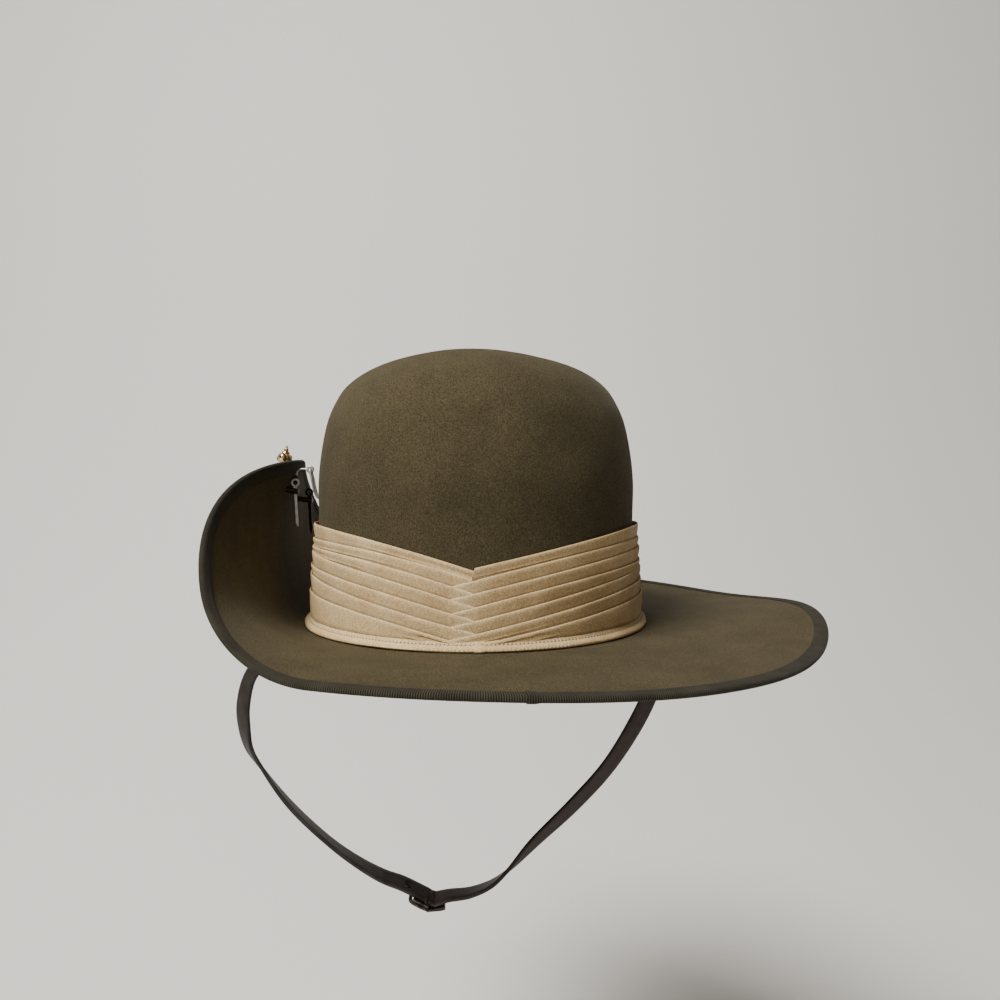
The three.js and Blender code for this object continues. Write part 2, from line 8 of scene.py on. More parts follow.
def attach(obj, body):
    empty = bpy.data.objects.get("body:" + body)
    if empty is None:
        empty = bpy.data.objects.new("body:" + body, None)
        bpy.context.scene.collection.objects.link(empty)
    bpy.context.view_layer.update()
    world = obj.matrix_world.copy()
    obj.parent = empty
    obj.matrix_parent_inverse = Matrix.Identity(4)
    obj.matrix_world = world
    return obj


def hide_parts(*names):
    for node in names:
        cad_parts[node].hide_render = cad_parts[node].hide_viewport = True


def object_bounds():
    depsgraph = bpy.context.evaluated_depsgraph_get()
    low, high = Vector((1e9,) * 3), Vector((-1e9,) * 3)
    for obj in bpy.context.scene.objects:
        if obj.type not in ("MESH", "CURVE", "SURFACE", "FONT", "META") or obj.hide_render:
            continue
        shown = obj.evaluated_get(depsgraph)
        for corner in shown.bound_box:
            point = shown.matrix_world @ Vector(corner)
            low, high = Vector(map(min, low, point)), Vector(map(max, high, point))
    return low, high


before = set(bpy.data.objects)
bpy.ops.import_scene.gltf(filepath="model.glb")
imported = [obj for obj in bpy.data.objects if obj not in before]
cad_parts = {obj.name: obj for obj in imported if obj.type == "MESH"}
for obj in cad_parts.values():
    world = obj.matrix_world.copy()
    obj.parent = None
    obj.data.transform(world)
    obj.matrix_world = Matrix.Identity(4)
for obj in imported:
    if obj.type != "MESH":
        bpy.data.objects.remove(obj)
CAD_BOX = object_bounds()

bl_info = {
    "name": "Slouch hat",
    "version": (1, 0, 0),
    "blender": (4, 5, 0),
    "location": "View3D > Sidebar > Slouch Hat",
    "description": "Dresses a felt slouch hat: felt, binding, pleated band, chin strap and fittings",
    "category": "Object",
}

# Lengths in the shape tables are millimetres in the hat's own frame: +Z up, the origin in the middle
# of the head opening, -X the side that is hooked up and -Y the end where the pleats meet.
MM = 0.001
FULL_TURN = 2 * math.pi
UP = Vector((0, 0, 1))
ACROSS = Vector((0, 1, 0))
GAP = 0.3  # clearance between pieces that are sewn or pressed together

HEAD_WIDTH = 85.0  # half the crown's outside width at its foot
HEAD_LENGTH = 103.5  # and half its length there
LENGTH_RATIO = HEAD_LENGTH / HEAD_WIDTH

# The crown's outline seen from the end: distance out and height, from its foot to its middle.
CROWN_PROFILE = [
    (85, 3), (84.2, 52), (84.2, 76), (82.2, 94), (79.6, 106), (76, 114.5), (71.7, 121.5),
    (65.2, 127.4), (56.5, 132.8), (45, 138.2), (32, 141.2), (17, 142.3), (0, 142.6),
]
# The crease pressed along the crown's top, and the fall of the top towards +Y.
CREASE_DEPTH = 25
CREASE_HALF_WIDTH = 27
CREASE_MIDDLE = 3
CREASE_START = -34
CREASE_END = 72
CREASE_FADE = 24
TOP_FALL = 9
TOP_FALL_RUN = (-30, 95)
SHOULDER = (98, 132)  # the heights between which both set in

# The brim's edge laid flat: distance from the middle and height, every 30 degrees from +X.
BRIM_EDGE = [
    (183, 5.5), (184.5, 2.6), (187, 6.8), (188, 6.4), (187, 4.5), (186, 4.5),
    (177.8, 4), (174.4, 3), (177.9, 0), (181.4, -2.2), (182.6, -5.3), (178.8, -4.8),
]
BRIM_CURVE = 1.4  # how late the brim leaves the level on its way out
BRIM_FOOT = 3  # how far outside the crown the brim starts
FOOT_DIP = 1.1  # how far the foot sits lower along the -Y side
FELT_AT_EDGE = 1.4  # the felt is pressed thinner under the binding

# The turned-up side: start, radius and turn of its fold beside the crown and far along the brim.
FOLD_BESIDE = (88.9, 12.9, math.radians(75))
FOLD_FAR = (53, 57, math.radians(61))
FOLD_SPREAD = 136  # how far along the brim the one turns into the other
LEAN_RADIUS = 127  # the curve of the flap above its fold, towards the crown


# ---- Lines and surfaces ----


def smoothstep(value, low, high):
    t = min(max((value - low) / (high - low), 0.0), 1.0)
    return t * t * (3 - 2 * t)


def lerp(a, b, t):
    return a + (b - a) * t


def apart(p, q):
    """How far apart two points are, whatever else rides along with them."""
    return (Vector(q[:3]) - Vector(p[:3])).length


def through(points, step, closed=False):
    """Points about a step apart on a smooth line through the given ones.

    A fourth number, such as a twist, rides along with each point.
    """
    run = [Vector(p) for p in points]
    if not closed:
        run = [run[0] * 2 - run[1], *run, run[-1] * 2 - run[-2]]
    count = len(run)
    line = []
    for i in range(count if closed else count - 3):
        a, b, c, d = (run[(i + k) % count] for k in range(4))
        before, here, after = (max(apart(p, q), 1e-4) ** 0.5 for p, q in ((a, b), (b, c), (c, d)))
        leave = ((b - a) / before - (c - a) / (before + here) + (c - b) / here) * here
        arrive = ((c - b) / here - (d - b) / (here + after) + (d - c) / after) * here
        steps = max(1, round(apart(b, c) / step))
        for j in range(steps):
            t = j / steps
            line.append(
                b * (2 * t**3 - 3 * t**2 + 1)
                + leave * (t**3 - 2 * t**2 + t)
                + c * (3 * t**2 - 2 * t**3)
                + arrive * (t**3 - t**2)
            )
    return line if closed else [*line, run[-2]]


def spaced(line, count):
    """count points evenly spaced along a line of points."""
    lengths = [0.0]
    for p, q in zip(line, line[1:]):
        lengths.append(lengths[-1] + (q - p).length)
    places = []
    i = 0
    for k in range(count):
        want = lengths[-1] * k / (count - 1)
        while i < len(line) - 2 and lengths[i + 1] < want:
            i += 1
        share = (want - lengths[i]) / max(lengths[i + 1] - lengths[i], 1e-9)
        places.append(line[i].lerp(line[i + 1], min(share, 1.0)))
    return places


def edge_value(column, angle):
    """The brim's edge table read smoothly at any angle."""
    place = (angle % FULL_TURN) / (FULL_TURN / len(BRIM_EDGE))
    row = math.floor(place)
    u = place - row
    a, b, c, d = (BRIM_EDGE[(row + k) % len(BRIM_EDGE)][column] for k in (-1, 0, 1, 2))
    return b + 0.5 * u * (c - a + u * (2 * a - 5 * b + 4 * c - d + u * (3 * (b - c) + d - a)))


def fold_at(y):
    """The start, radius and turn of the brim's fold at a place along the hat."""
    mix = 1 - math.exp(-2 * (y / FOLD_SPREAD) ** 2)
    return [lerp(beside, far, mix) for beside, far in zip(FOLD_BESIDE, FOLD_FAR)]


def along_fold(fold, distance):
    """How far out and up the folded felt is, and its slope, a distance along it."""
    start, radius, turn = fold
    tight = min(distance / radius, turn)
    slope = tight + max(distance - radius * turn, 0) / LEAN_RADIUS
    out = radius * math.sin(tight) + LEAN_RADIUS * (math.sin(slope) - math.sin(tight))
    rise = radius * (1 - math.cos(tight)) + LEAN_RADIUS * (math.cos(tight) - math.cos(slope))
    return out, rise, slope


def fold_up(point):
    """Where a point of the flat brim goes when the side is turned up."""
    fold = fold_at(point.y)
    distance = -point.x - fold[0]
    if distance <= 0:
        return point
    out, rise, _ = along_fold(fold, distance)
    return Vector((-fold[0] - out, point.y, point.z + rise))


def foot_dip(angle):
    return FOOT_DIP * smoothstep(-math.sin(angle), 0, 0.5)


def beside_foot(away, height, angle):
    out, along = HEAD_WIDTH + away, HEAD_LENGTH + away
    return Vector((out * math.cos(angle), along * math.sin(angle), height))


def brim_point(fraction, angle):
    """The brim's upper side, from its foot at 0 to its edge at 1."""
    radius = edge_value(0, angle)
    edge = Vector((radius * math.cos(angle), radius * math.sin(angle), 0))
    point = beside_foot(BRIM_FOOT, 0, angle).lerp(edge, fraction)
    rise = edge_value(1, angle) * max(fraction, 0) ** BRIM_CURVE
    point.z = rise - foot_dip(angle) * (1 - fraction) ** 2
    return fold_up(point)


def beside_edge(distance, angle):
    """The brim's upper side, a distance in from its edge, its normal there and the way out."""
    step_in, step_round = 2, 0.01
    length = edge_value(0, angle) - beside_foot(BRIM_FOOT, 0, angle).length
    here = brim_point(1 - distance / length, angle)
    inward = brim_point(1 - (distance + step_in) / length, angle) - here
    sideways = brim_point(1 - distance / length, angle + step_round) - here
    return here, sideways.cross(inward).normalized(), -inward.normalized()


def sunk_by(x, y, height):
    """How far the crease and the fall of the top lower the crown at a place."""
    starts = smoothstep(y, CREASE_START - CREASE_FADE, CREASE_START + CREASE_FADE)
    ends = smoothstep(y, CREASE_END - CREASE_FADE, CREASE_END + CREASE_FADE)
    sideways = math.exp(-(((x - CREASE_MIDDLE) / CREASE_HALF_WIDTH) ** 2))
    fall = TOP_FALL * smoothstep(y, *TOP_FALL_RUN)
    return smoothstep(height, *SHOULDER) * (fall + CREASE_DEPTH * sideways * starts * (1 - ends))


def crown_point(out, height, angle):
    """A place on the crown, with its top creased and fallen."""
    x = out * math.cos(angle)
    y = out * LENGTH_RATIO * math.sin(angle)
    return Vector((x, y, height - sunk_by(x, y, height)))


def wall_out(height):
    """Half the crown's width at a height, on its upright wall."""
    for (low_out, low), (high_out, high) in zip(CROWN_PROFILE, CROWN_PROFILE[1:]):
        if height <= high:
            return lerp(low_out, high_out, max(height - low, 0) / (high - low))
    return CROWN_PROFILE[-1][0]


def beside_wall(away, height, angle):
    out = wall_out(height)
    x, y = out + away, out * LENGTH_RATIO + away
    return Vector((x * math.cos(angle), y * math.sin(angle), height))


def on_flap(y, along):
    """A place on the turned-up side: its surface, the way to the crown and the way up the felt."""
    fold = fold_at(y)
    out, rise, slope = along_fold(fold, along)
    fraction = (fold[0] + along - HEAD_WIDTH) / (edge_value(0, math.pi) - HEAD_WIDTH)
    height = edge_value(1, math.pi) * fraction**BRIM_CURVE + rise
    surface = Vector((-fold[0] - out, y, height))
    inward = Vector((math.sin(slope), 0, math.cos(slope)))
    return surface, inward, Vector((-math.cos(slope), 0, math.sin(slope)))


# ---- Making and finishing pieces ----


def deselect():
    if bpy.context.mode != "OBJECT":
        bpy.ops.object.mode_set(mode="OBJECT")
    bpy.ops.object.select_all(action="DESELECT")


def select_only(piece):
    deselect()
    piece.select_set(True)
    bpy.context.view_layer.objects.active = piece


def name_new(name):
    piece = bpy.context.active_object
    piece.name = name
    piece.data.name = name
    return piece


def laid_sheet(name, along, across, place):
    """A grid laid over a shape: place(u, v) gives each corner's point, in millimetres."""
    deselect()
    bpy.ops.mesh.primitive_grid_add(x_subdivisions=along, y_subdivisions=across, size=1, calc_uvs=True)
    piece = name_new(name)
    for vertex in piece.data.vertices:
        vertex.co = place(vertex.co.x + 0.5, vertex.co.y + 0.5) * MM
    return piece


def worked(piece, operator, **settings):
    """Runs an edit mode operator on all of a piece."""
    select_only(piece)
    bpy.ops.object.mode_set(mode="EDIT")
    bpy.ops.mesh.select_all(action="SELECT")
    operator(**settings)
    bpy.ops.object.mode_set(mode="OBJECT")
    return piece


def faced_out(piece):
    """Turns a closed piece's faces outwards."""
    return worked(piece, bpy.ops.mesh.normals_make_consistent, inside=False)


def sewn_up(piece):
    """Merges the seam where a sheet meets itself."""
    return worked(piece, bpy.ops.mesh.remove_doubles, threshold=0.02 * MM)


def closed_off(piece):
    """Closes the open ends of a tube."""
    select_only(piece)
    bpy.ops.object.mode_set(mode="EDIT")
    bpy.ops.mesh.select_all(action="DESELECT")
    bpy.ops.mesh.select_mode(type="EDGE")
    bpy.ops.mesh.select_non_manifold()
    bpy.ops.mesh.edge_face_add()
    bpy.ops.mesh.select_mode(type="VERT")
    return faced_out(piece)


def modified(piece, kind, **settings):
    """Adds a modifier and applies it."""
    select_only(piece)
    modifier = piece.modifiers.new(kind.title(), kind)
    for key, value in settings.items():
        setattr(modifier, key, value)
    bpy.ops.object.modifier_apply(modifier=modifier.name)
    return piece


def smooth(piece, degrees):
    """Shades a piece smooth, but for edges sharper than an angle."""
    select_only(piece)
    bpy.ops.object.shade_smooth_by_angle(angle=math.radians(degrees))
    return piece


def joined(pieces, name):
    deselect()
    for piece in pieces:
        piece.select_set(True)
    bpy.context.view_layer.objects.active = pieces[0]
    bpy.ops.object.join()
    return name_new(name)


def settled(piece):
    """Puts the object at the origin, unturned and unscaled, with its place in its mesh."""
    select_only(piece)
    bpy.ops.object.transform_apply(location=True, rotation=True, scale=True)
    return piece


def wire(name, points, radius, closed=False):
    """A round wire bent through points, in millimetres."""
    deselect()
    data = bpy.data.curves.new(name, "CURVE")
    data.dimensions = "3D"
    data.bevel_depth = radius * MM
    data.bevel_resolution = 5
    data.use_fill_caps = True
    spline = data.splines.new("POLY")
    spline.points.add(len(points) - 1)
    for knot, point in zip(spline.points, points):
        knot.co = (*(point * MM), 1)
    spline.use_cyclic_u = closed
    piece = bpy.data.objects.new(name, data)
    bpy.context.scene.collection.objects.link(piece)
    select_only(piece)
    bpy.ops.object.convert(target="MESH")
    return smooth(name_new(name), 50)


def finished(piece, material, slot, nodes=(), body="root"):
    """Dresses a piece and ties it to the frame."""
    piece.data.materials.clear()
    piece.data.materials.append(material)
    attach(piece, body)
    if nodes:
        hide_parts(*nodes)
    return piece


# ---- Materials ----


def linear(code):
    """An sRGB hex value as linear colour."""
    parts = [int(code[i : i + 2], 16) / 255 for i in (1, 3, 5)]
    return tuple(c / 12.92 if c <= 0.04045 else ((c + 0.055) / 1.055) ** 2.4 for c in parts)


def new_material(name, **finish):
    """A material with one Principled shader, whose even values go on its own sockets."""
    material = bpy.data.materials.new(name)
    material.use_nodes = True
    shader = material.node_tree.nodes["Principled BSDF"]
    for key, value in finish.items():
        shader.inputs[key.replace("_", " ")].default_value = value
    return material, shader


def set_inputs(material, node, inputs):
    """Fills a node's inputs: each is an even value or another node's output."""
    for key, value in inputs.items():
        if isinstance(value, bpy.types.NodeSocket):
            material.node_tree.links.new(value, node.inputs[key])
        else:
            node.inputs[key].default_value = value


def add_node(material, kind, inputs=None, **settings):
    """Adds a shader node with its settings and inputs."""
    made = material.node_tree.nodes.new(kind)
    for key, value in settings.items():
        setattr(made, key, value)
    set_inputs(material, made, inputs or {})
    return made


FACTOR, COLOUR_A, COLOUR_B, COLOUR_OUT = 0, 6, 7, 2  # sockets of a Mix node set to colours
PLEAT_CLOTH = 0.018  # metres of cloth across a pleat, from its back to where it ends under the next
FOLD_LINE = PLEAT_CLOTH / 3  # where across it the fold runs
CREASE_LINE = PLEAT_CLOTH * 8 / 9  # where it goes under the next pleat


def felt_material(look):
    """Fur felt, pressed and brushed: matt, mottled in the piece, flecked by its short nap.

    Single fibres are too fine to show, so the nap is drawn as tufts.
    """
    material, shader = new_material(
        "fur_felt", Roughness=0.95, Specular_IOR_Level=0.15,
        Sheen_Weight=0.12, Sheen_Roughness=0.5, Sheen_Tint=(*linear("#b5ac93"), 1),
    )
    place = add_node(material, "ShaderNodeTexCoord").outputs["Object"]
    blotches = add_node(
        material, "ShaderNodeTexNoise",
        {"Vector": place, "Scale": 1 / (22 * MM), "Detail": 3.0, "Roughness": 0.6},
    )
    nap = add_node(
        material, "ShaderNodeTexNoise",
        {"Vector": place, "Scale": 1 / look.nap_size, "Detail": 4.0, "Roughness": 0.7},
    )
    tone = add_node(
        material, "ShaderNodeMapRange",
        {"Value": blotches.outputs["Fac"], "From Min": 0.3, "From Max": 0.7, "To Min": 0.0, "To Max": 1.0},
    )
    fibres = add_node(
        material, "ShaderNodeMapRange",
        {"Value": nap.outputs["Fac"], "From Min": 0.38, "From Max": 0.64, "To Min": 0.0, "To Max": 1.0},
    )
    base = add_node(
        material, "ShaderNodeMix",
        {FACTOR: tone.outputs["Result"], COLOUR_A: (*look.shade, 1), COLOUR_B: (*look.colour, 1)},
        data_type="RGBA",
    )
    flecked = add_node(
        material, "ShaderNodeMix",
        {FACTOR: fibres.outputs["Result"], COLOUR_A: (0.55, 0.55, 0.55, 1), COLOUR_B: (1.65, 1.64, 1.6, 1)},
        data_type="RGBA",
    )
    mixed = add_node(
        material, "ShaderNodeMix",
        {FACTOR: 1.0, COLOUR_A: base.outputs[COLOUR_OUT], COLOUR_B: flecked.outputs[COLOUR_OUT]},
        data_type="RGBA", blend_type="MULTIPLY",
    )
    bump = add_node(
        material, "ShaderNodeBump", {"Strength": 0.6, "Distance": 0.25 * MM, "Height": nap.outputs["Fac"]}
    )
    set_inputs(
        material, shader, {"Base Color": mixed.outputs[COLOUR_OUT], "Normal": bump.outputs["Normal"]}
    )
    return material


def ribbed_material(look):
    """Grosgrain ribbon, woven with cords across it: fine ribs that run over the edge, with painted shade
    between them.
    """
    material, shader = new_material(
        "grosgrain_ribbon", Roughness=0.9, Sheen_Weight=0.03, Sheen_Roughness=0.5, Specular_IOR_Level=0.15
    )
    flat = add_node(material, "ShaderNodeUVMap", uv_map="UVMap").outputs["UV"]
    split = add_node(material, "ShaderNodeSeparateXYZ", {"Vector": flat})
    turns = add_node(
        material, "ShaderNodeMath", {0: split.outputs["X"], 1: FULL_TURN * look.ribs}, operation="MULTIPLY"
    )
    wave = add_node(material, "ShaderNodeMath", {0: turns.outputs[0]}, operation="SINE")
    rib = add_node(
        material, "ShaderNodeMapRange",
        {"Value": wave.outputs[0], "From Min": -1.0, "From Max": 1.0, "To Min": 0.0, "To Max": 1.0},
    )
    place = add_node(material, "ShaderNodeTexCoord").outputs["Object"]
    wear = add_node(material, "ShaderNodeTexNoise", {"Vector": place, "Scale": 1 / (9 * MM), "Detail": 4.0})
    worn_and_highlit = add_node(
        material, "ShaderNodeMapRange",
        {"Value": wear.outputs["Fac"], "From Min": 0.35, "From Max": 0.7, "To Min": 0.75, "To Max": 1.15},
    )
    # Painted shade: the grooves between the ribs take the darker groove colour.
    dyed = add_node(
        material, "ShaderNodeMix",
        {FACTOR: rib.outputs["Result"], COLOUR_A: (*look.groove_shade, 1), COLOUR_B: (*look.colour, 1)},
        data_type="RGBA",
    )
    tinted = add_node(
        material, "ShaderNodeVectorMath", {0: dyed.outputs[COLOUR_OUT], "Scale": worn_and_highlit.outputs["Result"]},
        operation="SCALE",
    )
    bump = add_node(
        material, "ShaderNodeBump",
        {"Strength": 0.8, "Distance": 0.16 * MM, "Height": rib.outputs["Result"]},
    )
    set_inputs(material, shader, {"Base Color": tinted.outputs["Vector"], "Normal": bump.outputs["Normal"]})
    return material


def cloth_material(look):
    """Worsted cloth: a fine plain weave with slubs, a painted highlight along each fold and painted shade
    where each pleat goes under the next.
    """
    material, shader = new_material(
        "worsted_cloth", Roughness=0.88, Specular_IOR_Level=0.25,
        Sheen_Weight=0.08, Sheen_Roughness=0.5, Sheen_Tint=(*linear("#e8d6b4"), 1),
    )
    flat = add_node(material, "ShaderNodeUVMap", uv_map="UVMap").outputs["UV"]
    split = add_node(material, "ShaderNodeSeparateXYZ", {"Vector": flat})
    threads = []
    for axis in ("X", "Y"):
        turns = add_node(
            material, "ShaderNodeMath", {0: split.outputs[axis], 1: FULL_TURN / look.thread},
            operation="MULTIPLY",
        )
        wave = add_node(material, "ShaderNodeMath", {0: turns.outputs[0]}, operation="SINE")
        threads.append(wave.outputs[0])
    crossed = add_node(material, "ShaderNodeMath", {0: threads[0], 1: threads[1]}, operation="MULTIPLY")
    weave = add_node(material, "ShaderNodeMath", {0: crossed.outputs[0], 1: 0.25}, operation="MULTIPLY")
    place = add_node(material, "ShaderNodeTexCoord").outputs["Object"]
    slub = add_node(
        material, "ShaderNodeTexNoise",
        {"Vector": place, "Scale": 1 / (0.8 * MM), "Detail": 3.0, "Roughness": 0.7},
    )
    patches = add_node(
        material, "ShaderNodeTexNoise", {"Vector": place, "Scale": 1 / (16 * MM), "Detail": 3.0}
    )
    rough = add_node(
        material, "ShaderNodeMath", {0: weave.outputs[0], 1: slub.outputs["Fac"]}, operation="ADD"
    )
    tone = add_node(
        material, "ShaderNodeMapRange",
        {"Value": patches.outputs["Fac"], "From Min": 0.3, "From Max": 0.7, "To Min": 0.0, "To Max": 1.0},
    )
    grain = add_node(
        material, "ShaderNodeMapRange",
        {"Value": rough.outputs[0], "From Min": 0.34, "From Max": 0.66, "To Min": 0.58, "To Max": 1.34},
    )
    dyed = add_node(
        material, "ShaderNodeMix",
        {FACTOR: tone.outputs["Result"], COLOUR_A: (*look.shade, 1), COLOUR_B: (*look.colour, 1)},
        data_type="RGBA",
    )
    # Painted highlight: the cloth is mixed towards a pale colour along each fold's crest, where light
    # catches it.
    from_fold = add_node(
        material, "ShaderNodeMath", {0: split.outputs["Y"], 1: FOLD_LINE}, operation="SUBTRACT"
    )
    off_fold = add_node(material, "ShaderNodeMath", {0: from_fold.outputs[0]}, operation="ABSOLUTE")
    wear_and_fold_highlight = add_node(
        material, "ShaderNodeMapRange",
        {"Value": off_fold.outputs[0], "From Min": 0.0, "From Max": 1.1 * MM, "To Min": 0.32, "To Max": 0.0},
    )
    pale = (*linear("#e9dcc0"), 1)
    worn_and_highlit = add_node(
        material, "ShaderNodeMix",
        {FACTOR: wear_and_fold_highlight.outputs["Result"], COLOUR_A: dyed.outputs[COLOUR_OUT], COLOUR_B: pale},
        data_type="RGBA",
    )
    # Painted shade: the cloth darkens to half where a pleat goes under the next one.
    light_end, dark_end = CREASE_LINE - 0.2 * MM, CREASE_LINE + 0.5 * MM
    crease_shade = add_node(
        material, "ShaderNodeMapRange",
        {
            "Value": split.outputs["Y"], "From Min": light_end, "From Max": dark_end,
            "To Min": 1.0, "To Max": 0.5,
        },
    )
    shade = add_node(
        material, "ShaderNodeMath", {0: grain.outputs["Result"], 1: crease_shade.outputs["Result"]},
        operation="MULTIPLY",
    )
    tinted = add_node(
        material, "ShaderNodeVectorMath", {0: worn_and_highlit.outputs[COLOUR_OUT], "Scale": shade.outputs[0]},
        operation="SCALE",
    )
    bump = add_node(
        material, "ShaderNodeBump", {"Strength": 0.5, "Distance": 0.12 * MM, "Height": rough.outputs[0]}
    )
    set_inputs(material, shader, {"Base Color": tinted.outputs["Vector"], "Normal": bump.outputs["Normal"]})
    return material


def thread_material(look):
    """Waxed cotton sewing thread: a little glossier and paler than the cloth, twisted."""
    material, shader = new_material("sewing_thread", Roughness=0.6, Specular_IOR_Level=0.4)
    place = add_node(material, "ShaderNodeTexCoord").outputs["Object"]
    twist = add_node(
        material, "ShaderNodeTexNoise", {"Vector": place, "Scale": 1 / (0.6 * MM), "Detail": 2.0}
    )
    pale = (*linear("#e6dabd"), 1)
    tint = add_node(
        material, "ShaderNodeMix",
        {FACTOR: twist.outputs["Fac"], COLOUR_A: (*look.shade, 1), COLOUR_B: pale},
        data_type="RGBA",
    )
    set_inputs(material, shader, {"Base Color": tint.outputs[COLOUR_OUT]})
    return material


def hole_shade_material():
    """Painted shade in the needles' holes: a dark, matt colour on small ovals where the cloth's threads are
    pulled down.
    """
    return new_material("painted_hole_shade", Base_Color=(*linear("#6b543a"), 1), Roughness=0.95)[0]


def whipping_material(look):
    """Dark thread wound tightly round a wire: close turns, each with a painted highlight and painted shade
    between them.
    """
    material, shader = new_material("dark_thread", Roughness=0.8, Specular_IOR_Level=0.2)
    place = add_node(material, "ShaderNodeTexCoord").outputs["Object"]
    # A Wave node has about three bands to a unit, so this gives a turn every half millimetre.
    turns = add_node(
        material, "ShaderNodeTexWave", {"Vector": place, "Scale": 1 / (1.6 * MM), "Distortion": 1.0},
        bands_direction="Z",
    )
    # Painted shade between the turns and painted highlight on them.
    tint = add_node(
        material, "ShaderNodeMix",
        {FACTOR: turns.outputs["Fac"], COLOUR_A: (*look.groove_shade, 1), COLOUR_B: (*look.colour, 1)},
        data_type="RGBA",
    )
    bump = add_node(
        material, "ShaderNodeBump",
        {"Strength": 0.6, "Distance": 0.15 * MM, "Height": turns.outputs["Fac"]},
    )
    set_inputs(
        material, shader, {"Base Color": tint.outputs[COLOUR_OUT], "Normal": bump.outputs["Normal"]}
    )
    return material


def leather_material(name, colour, look):
    """Bridle leather, dyed through and waxed: a fine pebbled grain, a low gloss and rubbed places."""
    material, shader = new_material(name, Specular_IOR_Level=0.22, Coat_Weight=0.02, Coat_Roughness=0.4)
    place = add_node(material, "ShaderNodeTexCoord").outputs["Object"]
    pebbles = add_node(
        material, "ShaderNodeTexVoronoi", {"Vector": place, "Scale": 1 / look.grain, "Randomness": 1.0}
    )
    scuffs = add_node(
        material, "ShaderNodeTexNoise",
        {"Vector": place, "Scale": 1 / (7 * MM), "Detail": 5.0, "Roughness": 0.65},
    )
    wear_and_fold_highlight = add_node(
        material, "ShaderNodeMapRange",
        {"Value": scuffs.outputs["Fac"], "From Min": 0.35, "From Max": 0.72, "To Min": 0.0, "To Max": 1.0},
    )
    dyed = add_node(
        material, "ShaderNodeMix",
        {FACTOR: wear_and_fold_highlight.outputs["Result"], COLOUR_A: (*colour, 1), COLOUR_B: (*look.wear_and_fold_highlight, 1)},
        data_type="RGBA",
    )
    gloss = add_node(
        material, "ShaderNodeMapRange",
        {"Value": scuffs.outputs["Fac"], "From Min": 0.3, "From Max": 0.7, "To Min": 0.45, "To Max": 0.62},
    )
    bump = add_node(
        material, "ShaderNodeBump",
        {"Strength": 0.3, "Distance": 0.08 * MM, "Height": pebbles.outputs["Distance"]},
    )
    set_inputs(material, shader, {
        "Base Color": dyed.outputs[COLOUR_OUT], "Roughness": gloss.outputs["Result"],
        "Normal": bump.outputs["Normal"],
    })
    return material


def metal_material(name, bright, dull, low, high):
    """Drawn or pressed metal: bright and dull patches, with its roughness between two values."""
    material, shader = new_material(name, Metallic=1.0)
    place = add_node(material, "ShaderNodeTexCoord").outputs["Object"]
    tarnish = add_node(
        material, "ShaderNodeTexNoise",
        {"Vector": place, "Scale": 1 / (3 * MM), "Detail": 5.0, "Roughness": 0.6},
    )
    stained = add_node(
        material, "ShaderNodeMapRange",
        {"Value": tarnish.outputs["Fac"], "From Min": 0.35, "From Max": 0.65, "To Min": 0.0, "To Max": 1.0},
    )
    tint = add_node(
        material, "ShaderNodeMix",
        {FACTOR: stained.outputs["Result"], COLOUR_A: (*dull, 1), COLOUR_B: (*bright, 1)},
        data_type="RGBA",
    )
    gloss = add_node(
        material, "ShaderNodeMapRange",
        {"Value": tarnish.outputs["Fac"], "From Min": 0.3, "From Max": 0.7, "To Min": high, "To Max": low},
    )
    set_inputs(
        material, shader, {"Base Color": tint.outputs[COLOUR_OUT], "Roughness": gloss.outputs["Result"]}
    )
    return material


def plaster_material(look):
    """Painted plaster: matt and even."""
    material, shader = new_material("painted_plaster", Roughness=0.9, Specular_IOR_Level=0.2)
    set_inputs(material, shader, {"Base Color": (*look.floor, 1)})
    return material


# ---- Settings ----


def colour_setting(name, description, code):
    return FloatVectorProperty(
        name=name, description=description, subtype="COLOR", size=3, min=0, max=1, default=linear(code)
    )


def length_setting(name, description, millimetres):
    return FloatProperty(
        name=name, description=description, subtype="DISTANCE", unit="LENGTH", precision=5, min=0,
        default=millimetres * MM,
    )


class HatFeltSettings(bpy.types.PropertyGroup):
    colour: colour_setting("Colour", "Khaki brown of the felt", "#48412f")
    shade: colour_setting("Shade", "Darker tone of its mottling", "#3e3828")
    thickness: length_setting("Thickness", "Thickness of the felt in crown and brim", 2.2)
    nap_size: length_setting("Nap", "Size of the brushed fibres' tufts", 0.65)
    steps: IntProperty(name="Steps", description="Faces round the felt", min=60, max=600, default=320)


class HatBindingSettings(bpy.types.PropertyGroup):
    colour: colour_setting("Colour", "Top of the ribbon's ribs", "#434034")
    # The groove colour is painted shade, between the ribs and between the whipping's turns.
    groove_shade: colour_setting("Groove", "Between the ribs", "#171510")
    width: length_setting("Width", "How far the ribbon reaches in from the brim's edge", 5.5)
    ribs: IntProperty(name="Ribs", description="Ribs round the brim", min=100, max=2400, default=1300)


class HatBandSettings(bpy.types.PropertyGroup):
    colour: colour_setting("Colour", "Sand colour of the band's cloth", "#dfc596")
    shade: colour_setting("Shade", "Darker tone of its mottling", "#cdae80")
    cloth: length_setting("Cloth", "Thickness of the cloth", 0.4)
    thread: length_setting("Thread", "Spacing of the weave's threads", 0.5)
    stitch: length_setting("Stitch", "Length of a stitch and its gap along the hem", 2)


